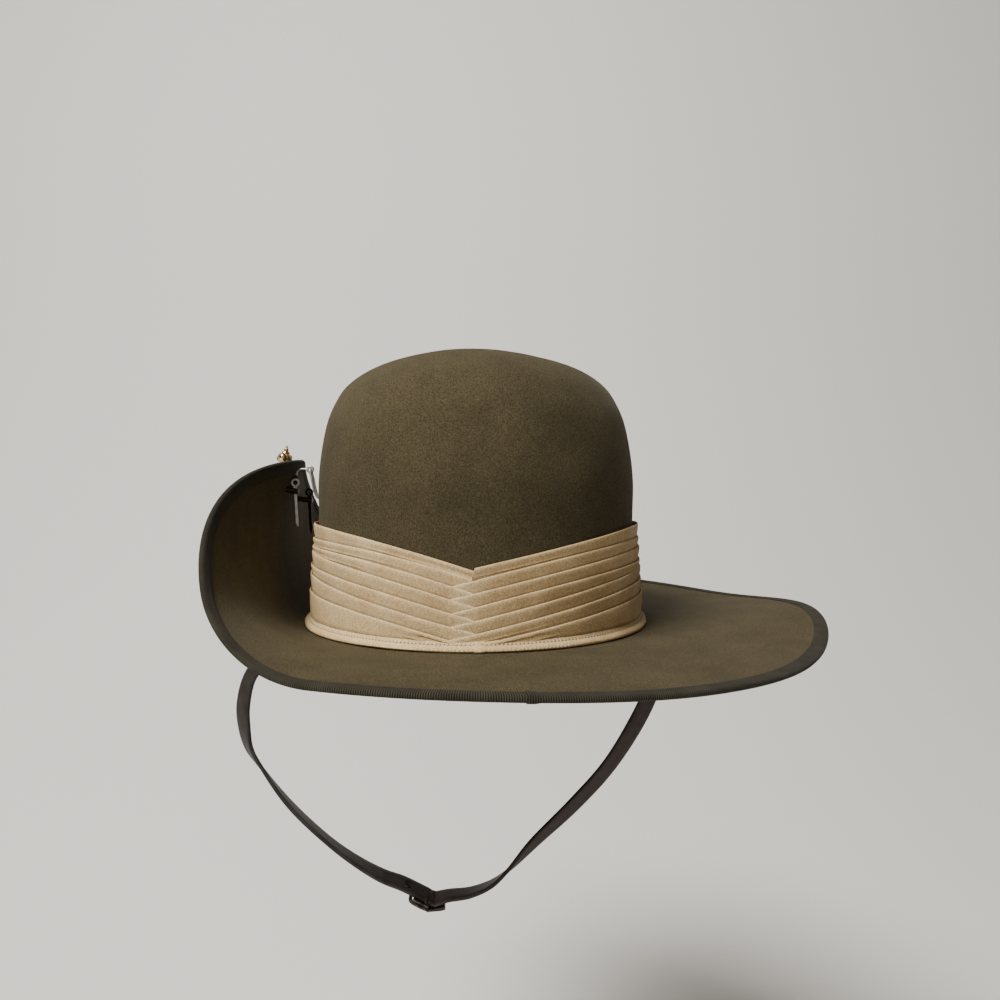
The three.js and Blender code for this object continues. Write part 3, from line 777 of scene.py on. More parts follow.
class HatStrapSettings(bpy.types.PropertyGroup):
    long_colour: colour_setting("Long strap", "Dark leather of the long strap", "#211e1c")
    short_colour: colour_setting("Short strap", "Redder leather of the short strap", "#2a1b18")
    wear_and_fold_highlight: colour_setting("Rubbed", "Where the dye is rubbed", "#383431")
    width: length_setting("Width", "Width of the strap", 10)
    thickness: length_setting("Thickness", "Thickness of the leather", 2)
    grain: length_setting("Grain", "Size of the leather's pebbles", 0.7)


class HatMetalSettings(bpy.types.PropertyGroup):
    steel: colour_setting("Steel", "Bright steel wire", "#e6e6e1")
    dark: colour_setting("Blackened", "Blackened metal", "#24221f")
    brass: colour_setting("Brass", "Polished brass of the badge", "#efdcae")


class HatStageSettings(bpy.types.PropertyGroup):
    floor: colour_setting("Floor", "Pale floor and backdrop", "#fbfaf7")
    clearance: length_setting("Clearance", "Air between the strap and the floor", 260)
    key: FloatProperty(
        name="Key light", description="Power of the soft window light", unit="POWER", default=74
    )


# ---- Felt ----


class HAT_OT_felt(bpy.types.Operator):
    """Make the felt crown and brim"""

    bl_idname = "hat.felt"
    bl_label = "Felt crown and brim"

    ROWS = 116  # from the brim's edge to the crown's middle
    BRIM_SHARE = 0.42  # where along the rows the brim ends
    FOOT_SHARE = 0.46  # and where the turn up into the crown ends
    THINNED = 0.03  # and how much of them lies under the binding
    FOOT_BLEND = 16  # the height at which the crown no longer follows the foot's dip
    PROFILE_POINTS = 200  # evenly spaced up the crown, for the rows to be read from
    # Soft dents: angle round the crown in degrees, height, depth and spread in millimetres.
    DENTS = [
        (-86, 96, 1.6, 17), (-62, 88, 1.5, 20), (-105, 112, 1.0, 18), (-70, 62, 0.8, 16),
        (-118, 70, 0.8, 22),
    ]
    DOME = 105  # the height above which a dent also goes down
    # A slow ripple all over the crown, and the heights between which it sets in above the band.
    RIPPLE = 0.7
    RIPPLE_SIZE = 42
    RIPPLE_FADE = (45, 80)

    def execute(self, context):
        look = context.scene.hat_felt
        profile = spaced(through(CROWN_PROFILE, 1.0), self.PROFILE_POINTS)
        shares = []

        def place(u, v):
            angle = FULL_TURN * u
            shares.append(smoothstep(v, 0, self.THINNED))
            if v <= self.BRIM_SHARE:
                return brim_point(1 - v / self.BRIM_SHARE, angle)
            if v < self.FOOT_SHARE:
                turn = math.pi / 2 * (self.FOOT_SHARE - v) / (self.FOOT_SHARE - self.BRIM_SHARE)
                height = BRIM_FOOT * (1 - math.sin(turn)) - foot_dip(angle)
                return beside_foot(BRIM_FOOT * (1 - math.cos(turn)), height, angle)
            row = (v - self.FOOT_SHARE) / (1 - self.FOOT_SHARE) * (len(profile) - 1)
            low = min(math.floor(row), len(profile) - 2)
            out, height = profile[low].lerp(profile[low + 1], row - low)
            point = self.dented(crown_point(out, height, angle))
            return point - UP * foot_dip(angle) * (1 - smoothstep(height, BRIM_FOOT, self.FOOT_BLEND))

        piece = laid_sheet("crown_and_brim_felt", look.steps, self.ROWS, place)
        full = piece.vertex_groups.new(name="full thickness")
        for index, share in enumerate(shares):
            full.add([index], share, "REPLACE")
        sewn_up(piece)
        modified(
            piece, "SOLIDIFY", thickness=look.thickness, offset=-1, use_even_offset=True,
            vertex_group=full.name, thickness_vertex_group=FELT_AT_EDGE * MM / look.thickness,
        )
        smooth(piece, 60)
        finished(piece, felt_material(look), "felt", ["crown_and_brim"])
        return {"FINISHED"}

    def dented(self, point):
        """Pushes a point of the crown in where the felt has been handled."""
        inward = Vector((-point.x, -point.y / LENGTH_RATIO, -max(point.z - self.DOME, 0)))
        if inward.length < 1:
            return point
        inward.normalize()
        ripple = noise.noise(point / self.RIPPLE_SIZE)
        depth = self.RIPPLE * ripple * smoothstep(point.z, *self.RIPPLE_FADE)
        for angle, height, deep, spread in self.DENTS:
            centre = beside_wall(0, height, math.radians(angle))
            depth += deep * math.exp(-((point - centre).length / spread) ** 2)
        return point + inward * depth


# ---- Binding ----


class HAT_OT_binding(bpy.types.Operator):
    """Fold the grosgrain binding over the brim's edge"""

    bl_idname = "hat.binding"
    bl_label = "Brim binding"

    SEAM = math.radians(-82.3)
    OVERLAP = math.radians(0.8)
    LAP = (0.9955, 0.9978)  # where along the ribbon it climbs over its first end
    LAP_UP = 0.8  # of its thickness, on the faces
    LAP_OUT = 0.15  # and round the edge
    RIBBON = 0.42
    LIFT = 0.15  # how far off the felt its inner face lies
    ROUND_FROM = 1.2  # how far in from the felt's edge it starts to turn round it
    SELVEDGE = (0.5, 0.25)  # its sewn edges: how wide they are, and how far they are pressed in
    STEPS = 1200

    def execute(self, context):
        look = context.scene.hat_binding
        width = look.width / MM
        felt = context.scene.hat_felt.thickness / MM
        cover = self.RIBBON + self.LIFT
        round_edge = FELT_AT_EDGE / 2 + cover
        selvedge, pressed = self.SELVEDGE
        flat = [self.ROUND_FROM, width * 0.4, width * 0.7, width - selvedge]
        # Distance in from the edge and height: over the top, round the edge and back underneath.
        section = [(width, cover - pressed), *((distance, cover) for distance in reversed(flat))]
        for degrees in (75, 50, 25, 0, -25, -50, -75):
            turn = math.radians(degrees)
            rise = round_edge * math.sin(turn)
            section.append((-round_edge * math.cos(turn), -FELT_AT_EDGE / 2 + rise))
        for distance in flat:
            section.append((distance, -lerp(FELT_AT_EDGE, felt, distance / width) - cover))
        section.append((width, -felt - cover + pressed))
        rows = len(section) - 1

        def place(u, v):
            angle = self.SEAM - u * (FULL_TURN + self.OVERLAP)
            distance, up = section[round(v * rows)]
            here, normal, outward = beside_edge(max(distance, 0), angle)
            lap = self.RIBBON * smoothstep(u, *self.LAP)
            side = 1 if up > -FELT_AT_EDGE / 2 else -1
            beyond = -distance + self.LAP_OUT * lap if distance < 0 else 0
            return here + normal * (up + self.LAP_UP * lap * side) + outward * beyond

        piece = laid_sheet("brim_binding_ribbon", self.STEPS, rows, place)
        modified(piece, "SOLIDIFY", thickness=self.RIBBON * MM, offset=-1)
        smooth(piece, 45)
        finished(piece, ribbed_material(look), "binding", ["brim_binding"])
        return {"FINISHED"}


# ---- Pleated band ----


class HAT_OT_band(bpy.types.Operator):
    """Fold the pleated band, its hem and its stitches"""

    bl_idname = "hat.band"
    bl_label = "Pleated band"

    # Places round the band are in degrees from the point where the pleats meet, by the left side.
    # Height of each fold at the point and at the side, and its rise in between, down the band.
    LEFT = [
        (34.0, 52.6, 2.3), (30.1, 44.8, 3.4), (24.3, 40.8, 3.4), (18.7, 38.1, 2.1),
        (13.0, 31.6, 2.0), (7.6, 27.6, 0.7), (1.6, 18.2, 2.4),
    ]
    RIGHT = [
        (34.4, 52.5, 0.2), (29.0, 45.4, 1.5), (23.5, 40.5, 1.0), (17.5, 33.6, 1.8),
        (11.8, 30.3, 0.7), (6.3, 24.3, 0.5), (1.7, 17.1, 0.8),
    ]
    BACK_BLEND = (120, 240)  # where one table turns into the other
    LEFT_END = -3.0
    RIGHT_END = 367.5
    TOP_END = 358.8  # the top pleat ends in view, cut off
    DIVES = (1.2, 365.4)  # past these a pleat's ends dive behind the others
    SINK = 0.9
    CUT_FROM = 355  # where the top pleat's end starts to slant
    CUT_SLANT = 0.15  # degrees to a millimetre down
    LIFT_FROM = 350  # where it starts to stand off
    END_LIFT = 0.8
    # At the sides and at the point: how far out the top pleat lies, and what each one below adds.
    BASE = (1.9, 0.8)
    GAIN = (0.26, 0.42)
    FACING = (0.2, 0.9)  # how much a place faces the point where the one turns into the other
    STEP_OUT = (100, 260)  # where a pleat climbs half a layer, to lie over those it started under
    # A pleat's section: distance out and distance below its fold, from its back over the fold,
    BACK = [(0.0, 4.0), (0.0, 1.2), (0.12, 0.3), (0.4, 0.0), (0.68, 0.18), (0.82, 0.6), (0.85, 1.3)]
    FRONT = [(0.7, 0.45), (0.2, 0.86)]  # then distance out and share of the way to the next fold,
    HIDDEN = -0.3  # and how far out it ends, under the next pleat
    TUCK = 3.5  # how far it runs on there
    LAST_FOOT = 4  # the last pleat goes under the hem at this height,
    LAST_LEAST = 2  # and is at least this tall
    LOWEST = 0.6
    PLEAT_STEPS = 330
    CLOTH_LENGTH = 0.66  # metres
    # Slow uneven waves in the cloth: their depth, and how fast they change round the band, with a
    # fold's height, down a pleat and from one pleat to the next.
    CRUMPLE = 0.3
    CRUMPLE_RATES = (0.13, 0.09, 0.12, 3.1)
    # The hem's section: distance out and height, from under the last pleat to the brim.
    HEM = [
        (3.2, 6.4), (3.9, 5.3), (4.3, 4.7), (4.35, 4.3), (4.9, 3.85), (5.6, 3.2), (6.2, 2.3), (6.4, 1.4),
        (6.0, 0.7), (4.8, 0.35), (3, 0.6),
    ]
    HEM_ENDS = (-2.2, 358.9)
    HEM_LAP = (355.5, 357.0)  # where it climbs over its first end
    HEM_LIFT = 0.5
    HEM_LENGTH = 620
    HEM_CLOTH = 0.013  # metres across
    HEM_STEPS = 6  # to a stitch
    PINCH = (0.3, 0.22)  # how far each stitch pulls it in, and puffs it up between
    PUCKER = (0.3, 0.8)  # where across it that fades
    ROLL = 0.5  # how unevenly it is rolled
    ROLL_UP = 0.6  # the share of that which lifts it
    ROLL_FROM = (0.3, 0.6)  # where across it that sets in
    ROLL_RATE = 0.09  # how fast it changes round the band
    ROLL_PLACE = 7.7  # where in the noise it is read, away from the pleats
    STITCH_LINE = (4.5, 4.3)  # distance out and height
    THREAD = (0.33, 0.26, 0.26)  # half its length, as a share of a stitch, half its depth and height
    THREAD_BOW = 0.25  # how far its ends dive
    HOLE = (0.3, 0.22, 0.3)  # half a needle hole's length, depth and height

    def height(self, row, turned):
        """The height of a fold at a place round the band."""
        share = math.sin(math.radians(turned if turned <= 180 else -turned))
        if 90 < turned < 270:
            share = 1.0
        heights = [
            lerp(point, side, share) + rise * 4 * share * (1 - share)
            for point, side, rise in (self.LEFT[row], self.RIGHT[row])
        ]
        return lerp(*heights, smoothstep(turned, *self.BACK_BLEND))

    def pleat(self, row):
        """One pleat, from its hidden end at the point round the hat to the other end."""
        last = self.TOP_END if row == 0 else self.RIGHT_END
        rows = len(self.BACK) + len(self.FRONT)
        start_dive, end_dive = self.DIVES
        round_rate, fold_rate, drop_rate, row_rate = self.CRUMPLE_RATES

        def place(u, v):
            turned = lerp(self.LEFT_END, last, u)
            fold = self.height(row, turned)
            if row < len(self.LEFT) - 1:
                below = fold - self.height(row + 1, turned)
            else:
                below = max(fold - self.LAST_FOOT, self.LAST_LEAST)
            facing = smoothstep(math.cos(math.radians(turned)), *self.FACING)
            layer = row + 0.5 * smoothstep(turned, *self.STEP_OUT)
            out = lerp(*self.BASE, facing) + lerp(*self.GAIN, facing) * layer
            out -= self.SINK * smoothstep(-turned, start_dive, -self.LEFT_END)
            out -= self.SINK * smoothstep(turned, end_dive, self.RIGHT_END)
            front = [(away, below * share) for away, share in self.FRONT]
            section = [*self.BACK, *front, (self.HIDDEN, below + self.TUCK)]
            away, drop = section[round(v * rows)]
            wave = Vector((turned * round_rate, fold * fold_rate + drop * drop_rate, row * row_rate))
            crumple = self.CRUMPLE * noise.noise(wave)
            slant = 0.0
            if row == 0:
                slant = self.CUT_SLANT * drop * smoothstep(turned, self.CUT_FROM, last)
                out += self.END_LIFT * smoothstep(turned, self.LIFT_FROM, last)
            angle = -math.pi / 2 - math.radians(turned + slant)
            return beside_wall(out + away + crumple, max(fold - drop, self.LOWEST), angle)

        piece = laid_sheet("pleat", self.PLEAT_STEPS, rows, place)
        self.scale_uv(piece, self.CLOTH_LENGTH, PLEAT_CLOTH)
        return modified(piece, "SOLIDIFY", thickness=bpy.context.scene.hat_band.cloth, offset=-1)

    @staticmethod
    def scale_uv(piece, along, across, start=0.0):
        """Makes the sheet's own map read in metres, so that the weave keeps its scale."""
        for corner in piece.data.uv_layers["UVMap"].data:
            corner.uv = (corner.uv[0] * along, start + corner.uv[1] * across)

    @staticmethod
    def hem_height(height, angle):
        """The hem is rolled a little tighter along the -Y side, and sits down with the felt."""
        return height * lerp(1.0, 0.8, max(-math.sin(angle), 0)) - foot_dip(angle)

    def hem(self, count):
        """The rolled hem, pinched by its stitches and lapped over its first end."""
        rows = len(self.HEM) - 1
        pull_in, puff_up = self.PINCH

        def place(u, v):
            turned = lerp(*self.HEM_ENDS, u)
            away, height = self.HEM[round(v * rows)]
            lap = self.HEM_LIFT * smoothstep(turned, *self.HEM_LAP)
            pinch = math.cos(FULL_TURN * turned / 360 * count) * math.sin(math.pi * v) ** 2
            pinch *= 1 - smoothstep(v, *self.PUCKER)
            uneven = noise.noise(Vector((turned * self.ROLL_RATE, v, self.ROLL_PLACE)))
            roll = self.ROLL * uneven * smoothstep(v, *self.ROLL_FROM)
            angle = -math.pi / 2 - math.radians(turned)
            height = self.hem_height(height + puff_up * pinch + self.ROLL_UP * roll, angle) - lap / 2
            return beside_wall(away + lap + roll - pull_in * pinch, height, angle)

        piece = laid_sheet("hem", count * self.HEM_STEPS, rows, place)
        # Its map lies outside the pleats', away from the painted highlight on their fold and the painted
        # shade in their crease.
        self.scale_uv(piece, self.CLOTH_LENGTH, self.HEM_CLOTH, -PLEAT_CLOTH)
        return modified(piece, "SOLIDIFY", thickness=bpy.context.scene.hat_band.cloth, offset=-1)

    def stitches(self, name, count, start, sizes, bow=0.0):
        """A row of small ovals along the top of the hem: the threads, or the painted shade of the holes
        between them.
        """
        long, deep, tall = sizes
        deselect()
        bpy.ops.mesh.primitive_uv_sphere_add(
            segments=6, ring_count=5, radius=1, rotation=(0, math.pi / 2, 0)
        )
        oval = settled(name_new("oval"))
        shape = [vertex.co.copy() for vertex in oval.data.vertices]
        faces = [list(polygon.vertices) for polygon in oval.data.polygons]
        corners = []
        polygons = []
        for i in range(count):
            angle = -math.pi / 2 - FULL_TURN * (i + start) / count
            away, height = self.STITCH_LINE
            height = self.hem_height(height, angle)
            centre = beside_wall(away, height, angle)
            along = (beside_wall(away, height, angle - 0.01) - centre).normalized()
            outward = along.cross(UP)
            if outward.dot(centre) < 0:
                outward = -outward
            first = len(corners)
            for co in shape:
                sunk = outward * (co.y * deep - bow * co.x * co.x)
                corners.append((centre + along * (co.x * long) + sunk + UP * (co.z * tall)) * MM)
            polygons += [[first + k for k in face] for face in faces]
        data = bpy.data.meshes.new(name)
        data.from_pydata(corners, [], polygons)
        bpy.data.objects.remove(oval)
        piece = bpy.data.objects.new(name, data)
        bpy.context.scene.collection.objects.link(piece)
        return smooth(faced_out(piece), 60)

    def execute(self, context):
        look = context.scene.hat_band
        stitch = look.stitch / MM
        count = round(self.HEM_LENGTH / stitch)
        pleats = [self.pleat(row) for row in range(len(self.LEFT))]
        band = smooth(joined([*pleats, self.hem(count)], "pleated_band_cloth"), 50)
        finished(band, cloth_material(look), "band_cloth", ["pleated_band"])
        share, deep, tall = self.THREAD
        sizes = (share * stitch, deep, tall)
        threads = self.stitches("hem_stitches", count, 0.5, sizes, self.THREAD_BOW)
        finished(threads, thread_material(look), "band_cloth")
        # Dark ovals of painted shade where the needle's holes pull the cloth in.
        holes = self.stitches("hem_needle_hole_shade", count, 0.0, self.HOLE)
        finished(holes, hole_shade_material(), "band_cloth")
        return {"FINISHED"}


# ---- Chin strap and buckle ----

# The strap hangs in one upright plane: x, z and roll in degrees at each station. Roll 90 lies flat
# against the head, 0 faces the end of the hat.
STRAP_PLANE = -20
STRAP_LEFT = [
    (-79.5, 16, 80.6), (-79.6, 5, 80.6), (-81, -4, 78), (-91, -12, 70), (-108, -18, 55), (-118.5, -28, 45),
    (-122.8, -44, 38), (-122.3, -56, 42), (-119.8, -67, 55), (-113.5, -77, 67), (-98, -97, 82),
    (-76.5, -117, 86), (-61, -128, 94), (-48.5, -134.8, 102),
]
STRAP_RIGHT = [
    (-14.7, -144.9, 99), (-3.1, -143.3, 93), (8.5, -138.6, 84), (17.5, -131.2, 71),
    (30.5, -117.2, 50), (52, -96.5, 37), (71.5, -74.5, 34), (90, -43, 27), (96, -25, 45),
    (91, -11.5, 62), (81.5, -3.5, 76), (79.6, 5, 80.6), (79.5, 16, 80.6),
]
STRAP_STEP = 2.5
STRAP_ROUND = 0.45  # how far its rubbed corners reach in
STRAP_CUT = 0.15  # and what they lose
STRAP_SWELL = (0.05, 0.08)  # of the side towards the head, at its quarters and in its middle
BUCKLE_PLACE = (-27.5, -143.9)
BUCKLE_TILT = math.radians(-26)
BUCKLE_ROLL = 106
BUCKLE_HALF_LENGTH = 5.5
BUCKLE_HALF_WIDTH = 6.6
BUCKLE_WIRE = 1.0
PRONG_HOLE = (-9.3, 2.4, 2.2)  # along the strap, half length, half width


def ribbon_frame(direction, roll):
    """The strap's width and its face towards the head, where it runs along a direction."""
    width = ACROSS.cross(direction) * math.cos(roll) + ACROSS * math.sin(roll)
    return width, direction.cross(width)


def buckle_frame():
    """The buckle's directions, and a place along it, across it and towards the head."""
    along = Vector((math.cos(BUCKLE_TILT), 0, math.sin(BUCKLE_TILT)))
    width, face = ribbon_frame(along, math.radians(BUCKLE_ROLL))
    centre = Vector((BUCKLE_PLACE[0], STRAP_PLANE, BUCKLE_PLACE[1]))

    def place(u, w, n):
        return centre + along * u + width * w + face * n

    return along, width, face, place


def buckle_drop(thickness):
    """How far the buckle's wire lies behind the middle of the strap."""
    return thickness / 2 + GAP + BUCKLE_WIRE


def strap_run(stations):
    """The strap's middle, width and face, a step apart through its stations."""
    line = through([(x, STRAP_PLANE, z, roll) for x, z, roll in stations], STRAP_STEP)
    places = [p.to_3d() for p in line]
    run = []
    for i, place in enumerate(places):
        tangent = (places[min(i + 1, len(places) - 1)] - places[max(i - 1, 0)]).normalized()
        run.append((place, *ribbon_frame(tangent, math.radians(line[i][3]))))
    return run


def strap_section(width, thickness):
    """The strap cut across: rubbed corners, a slight swell towards the head and a flat outside."""
    half, thin = width / 2, thickness / 2
    quarter, middle = STRAP_SWELL
    right = [
        (half / 2, thin + quarter), (half - STRAP_ROUND, thin),
        (half - STRAP_CUT, thin - STRAP_CUT), (half, thin - STRAP_ROUND),
    ]
    left = [(-across, rise) for across, rise in reversed(right)]
    near = [*left, (0, thin + middle), *right]
    far = [(across, max(-rise, -thin)) for across, rise in reversed(near)]
    return [*near, *far, near[0]]


def strap_sheet(name, run, width, thickness):
    """A strap swept along its run and closed at its ends."""
    corners = strap_section(width, thickness)
    rows = len(corners) - 1

    def place(u, v):
        centre, wide, face = run[round(u * (len(run) - 1))]
        w, n = corners[round(v * rows)]
        return centre + wide * w + face * n

    return closed_off(sewn_up(laid_sheet(name, len(run) - 1, rows, place)))


class HAT_OT_straps(bpy.types.Operator):
    """Cut and hang the two parts of the chin strap"""

    bl_idname = "hat.straps"
    bl_label = "Chin strap"

    LEVEL_FROM = -13  # where along the buckle's line the long strap already lies as the buckle does
    # The short strap's end turned back round the buckle's wire.
    TURN_BACK_DROP = 3.5
    TURN_BACK_STEPS = 2
    BEND_STEPS = 10

    def execute(self, context):
        look = context.scene.hat_strap
        width, thickness = look.width / MM, look.thickness / MM
        along, wide, face, place = buckle_frame()
        drop = buckle_drop(thickness)

        end = BUCKLE_HALF_LENGTH - drop - thickness / 2 - GAP
        near, last = place(self.LEVEL_FROM, 0, 0), place(end, 0, 0)
        stations = [*STRAP_LEFT, (near.x, near.z, BUCKLE_ROLL), (last.x, last.z, BUCKLE_ROLL)]
        long_strap = strap_sheet("chin_strap_long_leather", strap_run(stations), width, thickness)
        self.punch(long_strap, place, thickness)
        smooth(long_strap, 40)
        black = leather_material("bridle_leather", look.long_colour, look)
        finished(long_strap, black, "strap_leather", ["chin_strap_long"])

        bar = place(BUCKLE_HALF_LENGTH + 1, 0, 0)
        front = strap_run([(bar.x, bar.z, BUCKLE_ROLL), *STRAP_RIGHT])
        behind = [
            (centre - side * self.TURN_BACK_DROP, across, -side)
            for centre, across, side in reversed(front[1 : 1 + self.TURN_BACK_STEPS])
        ]
        bend = []
        for i in range(self.BEND_STEPS + 1):
            turn = math.pi * (1 - i / self.BEND_STEPS)
            outward = along * -math.sin(turn) + face * math.cos(turn)
            bend.append((place(BUCKLE_HALF_LENGTH, 0, -drop) + outward * drop, wide, outward))
        run = [*behind, *bend, *front]
        short_strap = smooth(strap_sheet("chin_strap_short_leather", run, width, thickness), 40)
        red = leather_material("bridle_leather_red", look.short_colour, look)
        finished(short_strap, red, "strap_leather", ["chin_strap_short"])
        return {"FINISHED"}

    def punch(self, strap, place, thickness):
        """Cuts the oval hole that the buckle's prong goes through."""
        along, half_length, half_width = PRONG_HOLE
        deselect()
        bpy.ops.mesh.primitive_cylinder_add(vertices=28, radius=1, depth=2)
        tool = name_new("punch")
        for vertex in tool.data.vertices:
            co = vertex.co
            vertex.co = place(along + co.x * half_length, co.y * half_width, co.z * 2 * thickness) * MM
        faced_out(tool)
        modified(strap, "BOOLEAN", operation="DIFFERENCE", object=tool, solver="EXACT")
        bpy.data.objects.remove(tool)


class HAT_OT_buckle(bpy.types.Operator):
    """Bend the strap's buckle and its prong"""

    bl_idname = "hat.buckle"
    bl_label = "Strap buckle"

    CORNER = 1
    # One side of the frame is built up into a plate by more wires: how far in, and their rises.
    PLATE_IN = 0.5
    PLATE_RISES = (0.7, 1.4)
    PRONG_WIRE = 0.85
    PRONG_BENDS = [(1.4, 1.0), (0.3, 0.6)]  # short of its tip, and the share of the drop there
    STUD = (2.1, 1.9, 1.1)  # the prong's broad tip: along, across and out of the strap
    CUFF_HALF = 1.5  # the prong's cuff round the frame
    CUFF_OVER = 0.35

    def execute(self, context):
        look = context.scene.hat_metal
        thickness = context.scene.hat_strap.thickness / MM
        *_, place = buckle_frame()
        drop = buckle_drop(thickness)
        u, w, corner = BUCKLE_HALF_LENGTH, BUCKLE_HALF_WIDTH, self.CORNER
        outline = [
            (u, w - corner), (u - corner, w), (corner - u, w), (-u, w - corner),
            (-u, corner - w), (corner - u, -w), (u - corner, -w), (u, corner - w),
        ]
        loop = through([place(a, b, -drop) for a, b in outline], 0.5, closed=True)
        ring = wire("buckle_frame", loop, BUCKLE_WIRE, closed=True)
        plate = []
        for rise in self.PLATE_RISES:
            ends = [place(a, self.PLATE_IN - w, rise - drop) for a in (corner - u, u - corner)]
            plate.append(wire("buckle_plate", ends, BUCKLE_WIRE))
        tip = PRONG_HOLE[0]
        bends = [place(tip + short, 0, -drop * share) for short, share in self.PRONG_BENDS]
        line = through([place(-u, 0, -drop), *bends, place(tip, 0, thickness / 2)], 0.4)
        prong = wire("buckle_prong", line, self.PRONG_WIRE)
        deselect()
        bpy.ops.mesh.primitive_uv_sphere_add(segments=24, ring_count=14, radius=1)
        stud = smooth(name_new("buckle_stud"), 80)
        long, wide, deep = self.STUD
        for vertex in stud.data.vertices:
            co = vertex.co
            vertex.co = place(tip + co.x * long, co.y * wide, co.z * deep) * MM
        ends = [place(-u, across, -drop) for across in (-self.CUFF_HALF, self.CUFF_HALF)]
        cuff = wire("buckle_cuff", ends, BUCKLE_WIRE + self.CUFF_OVER)
        buckle = joined([ring, *plate, prong, stud, cuff], "strap_buckle_metal")
        black = metal_material("blackened_brass", linear("#5f5b53"), look.dark, 0.35, 0.5)
        finished(buckle, black, "dark_metal", ["strap_buckle"])
        return {"FINISHED"}


# ---- Fittings on the turned-up side ----

# Places on the flap are y and the way along the felt from the start of its fold.
# Each lug: its place, and how far inside the felt its pin goes through it.
LUGS = [(-5, 74.5, 4.5), (24, 71.4, 7.7)]
LUG_PAST = 1.9  # how far a lug goes on past its pin
LUG_RADIUS = 1.6
PIN_LEG = 18
PIN_LEAN = 1.1  # how far a pin hangs out of the upright
PIN_EYE = 1.8
PIN_NECK = 2
PIN_WIRE = 0.55
BADGE_PLACE = (9.5, 72.5)
BADGE_SEAT = 3  # how far its back stands off the felt
BADGE_HALF_HEIGHT = 12.5
BADGE_STRETCH = 1.4  # its length over its height
HOOK_PLACE = (4, 82)
HOOK_WIRE = 0.6
HOOK_RING = 1.6
HOOK_ARM = 7.8
HOOK_RISE = 3.8
HOOK_LOOP = (6, 2.4)  # the sewn loop's length and half its width
HOOK_NECK = (0.1, 0.75)  # shares of the arm and of its rise at which it bends over
HOOK_BOW = (0.6, 0.7)  # where between ring and neck the arm is highest, and how far it bows up
WHIPPING = 0.2  # thickness of the thread round the loop
EYE_WIDTH = 4.6
EYE_FOOT = 63  # the height at which it leaves the crown
EYE_BEND = Vector((-3.6, 0, 3.4))  # from its foot to where it turns towards the hook
EYE_BELOW = 4  # how far it reaches down below its foot
EYE_NARROW = (0.6, 0.8)  # its width at the hook and at its foot, as shares


def ring_points(centre, radius, start=0.0, end=360.0, steps=28):
    """Points round a ring that stands across the hat."""
    turns = [math.radians(lerp(start, end, i / steps)) for i in range(steps + 1)]
    return [centre + Vector((math.sin(t), 0, math.cos(t))) * radius for t in turns]


def lug_places(felt):
    """Each lug's outer end, its inner end and where its pin goes through."""
    places = []
    for y, along, pin in LUGS:
        surface, inward, _ = on_flap(y, along)
        outside = surface - inward * (felt + BADGE_SEAT + 1)
        places.append((outside, surface + inward * (pin + LUG_PAST), surface + inward * pin))
    return places


def hook_places():
    """Where the hook leaves the felt, the middle of its ring and the way up the felt."""
    surface, inward, upward = on_flap(*HOOK_PLACE)
    foot = surface + inward * (HOOK_WIRE + 2 * GAP)
    return foot, foot + Vector((HOOK_ARM, 0, HOOK_RISE)), upward


class HAT_OT_hook(bpy.types.Operator):
    """Bend the hook on the flap and the eye on the crown"""

    bl_idname = "hat.hook"
    bl_label = "Hook and eye"

    def execute(self, context):
        look = context.scene.hat_metal
        steel = metal_material("steel_wire", look.steel, linear("#b9b8b2"), 0.38, 0.5)
        foot, tip, upward = hook_places()
        long, half = HOOK_LOOP
        middle, low = foot - upward * long / 2, foot - upward * long
        sewn = through([foot, middle + ACROSS * half, low, middle - ACROSS * half], 0.5, closed=True)
        arm_end = tip - Vector((HOOK_RING, 0, 0))
        neck = foot + Vector((HOOK_ARM * HOOK_NECK[0], 0, HOOK_RISE * HOOK_NECK[1]))
        bow = arm_end.lerp(neck, HOOK_BOW[0]) + UP * HOOK_BOW[1]
        hook = joined([
            wire("hook_arm", through([foot, neck, bow, arm_end], 0.5), HOOK_WIRE),
            wire("hook_ring", ring_points(tip, HOOK_RING)[:-1], HOOK_WIRE, closed=True),
        ], "flap_hook_wire")
        finished(hook, steel, "steel_wire", ["flap_hook"])
        whipped = wire("hook_loop_whipping", sewn, HOOK_WIRE + WHIPPING, closed=True)
        finished(whipped, whipping_material(context.scene.hat_binding), "binding")

        wall = beside_wall(HOOK_WIRE + 2 * GAP, EYE_FOOT, math.pi)
        wall.y = HOOK_PLACE[0]
        half = EYE_WIDTH / 2
        bend = wall + EYE_BEND
        at_hook, at_foot = EYE_NARROW
        side = [
            (tip, half * at_hook), (tip.lerp(bend, 0.25), half), (bend, half), (wall, half * at_foot),
            (wall - UP * EYE_BELOW, half),
        ]
        there = [point + ACROSS * across for point, across in side]
        back = [point - ACROSS * across for point, across in reversed(side)]
        loop = through([back[-1], *there, *back[:-1]], 0.4, closed=True)
        eye = wire("crown_eye_wire", loop, HOOK_WIRE, closed=True)
        finished(eye, steel, "steel_wire", ["crown_eye"])
        return {"FINISHED"}


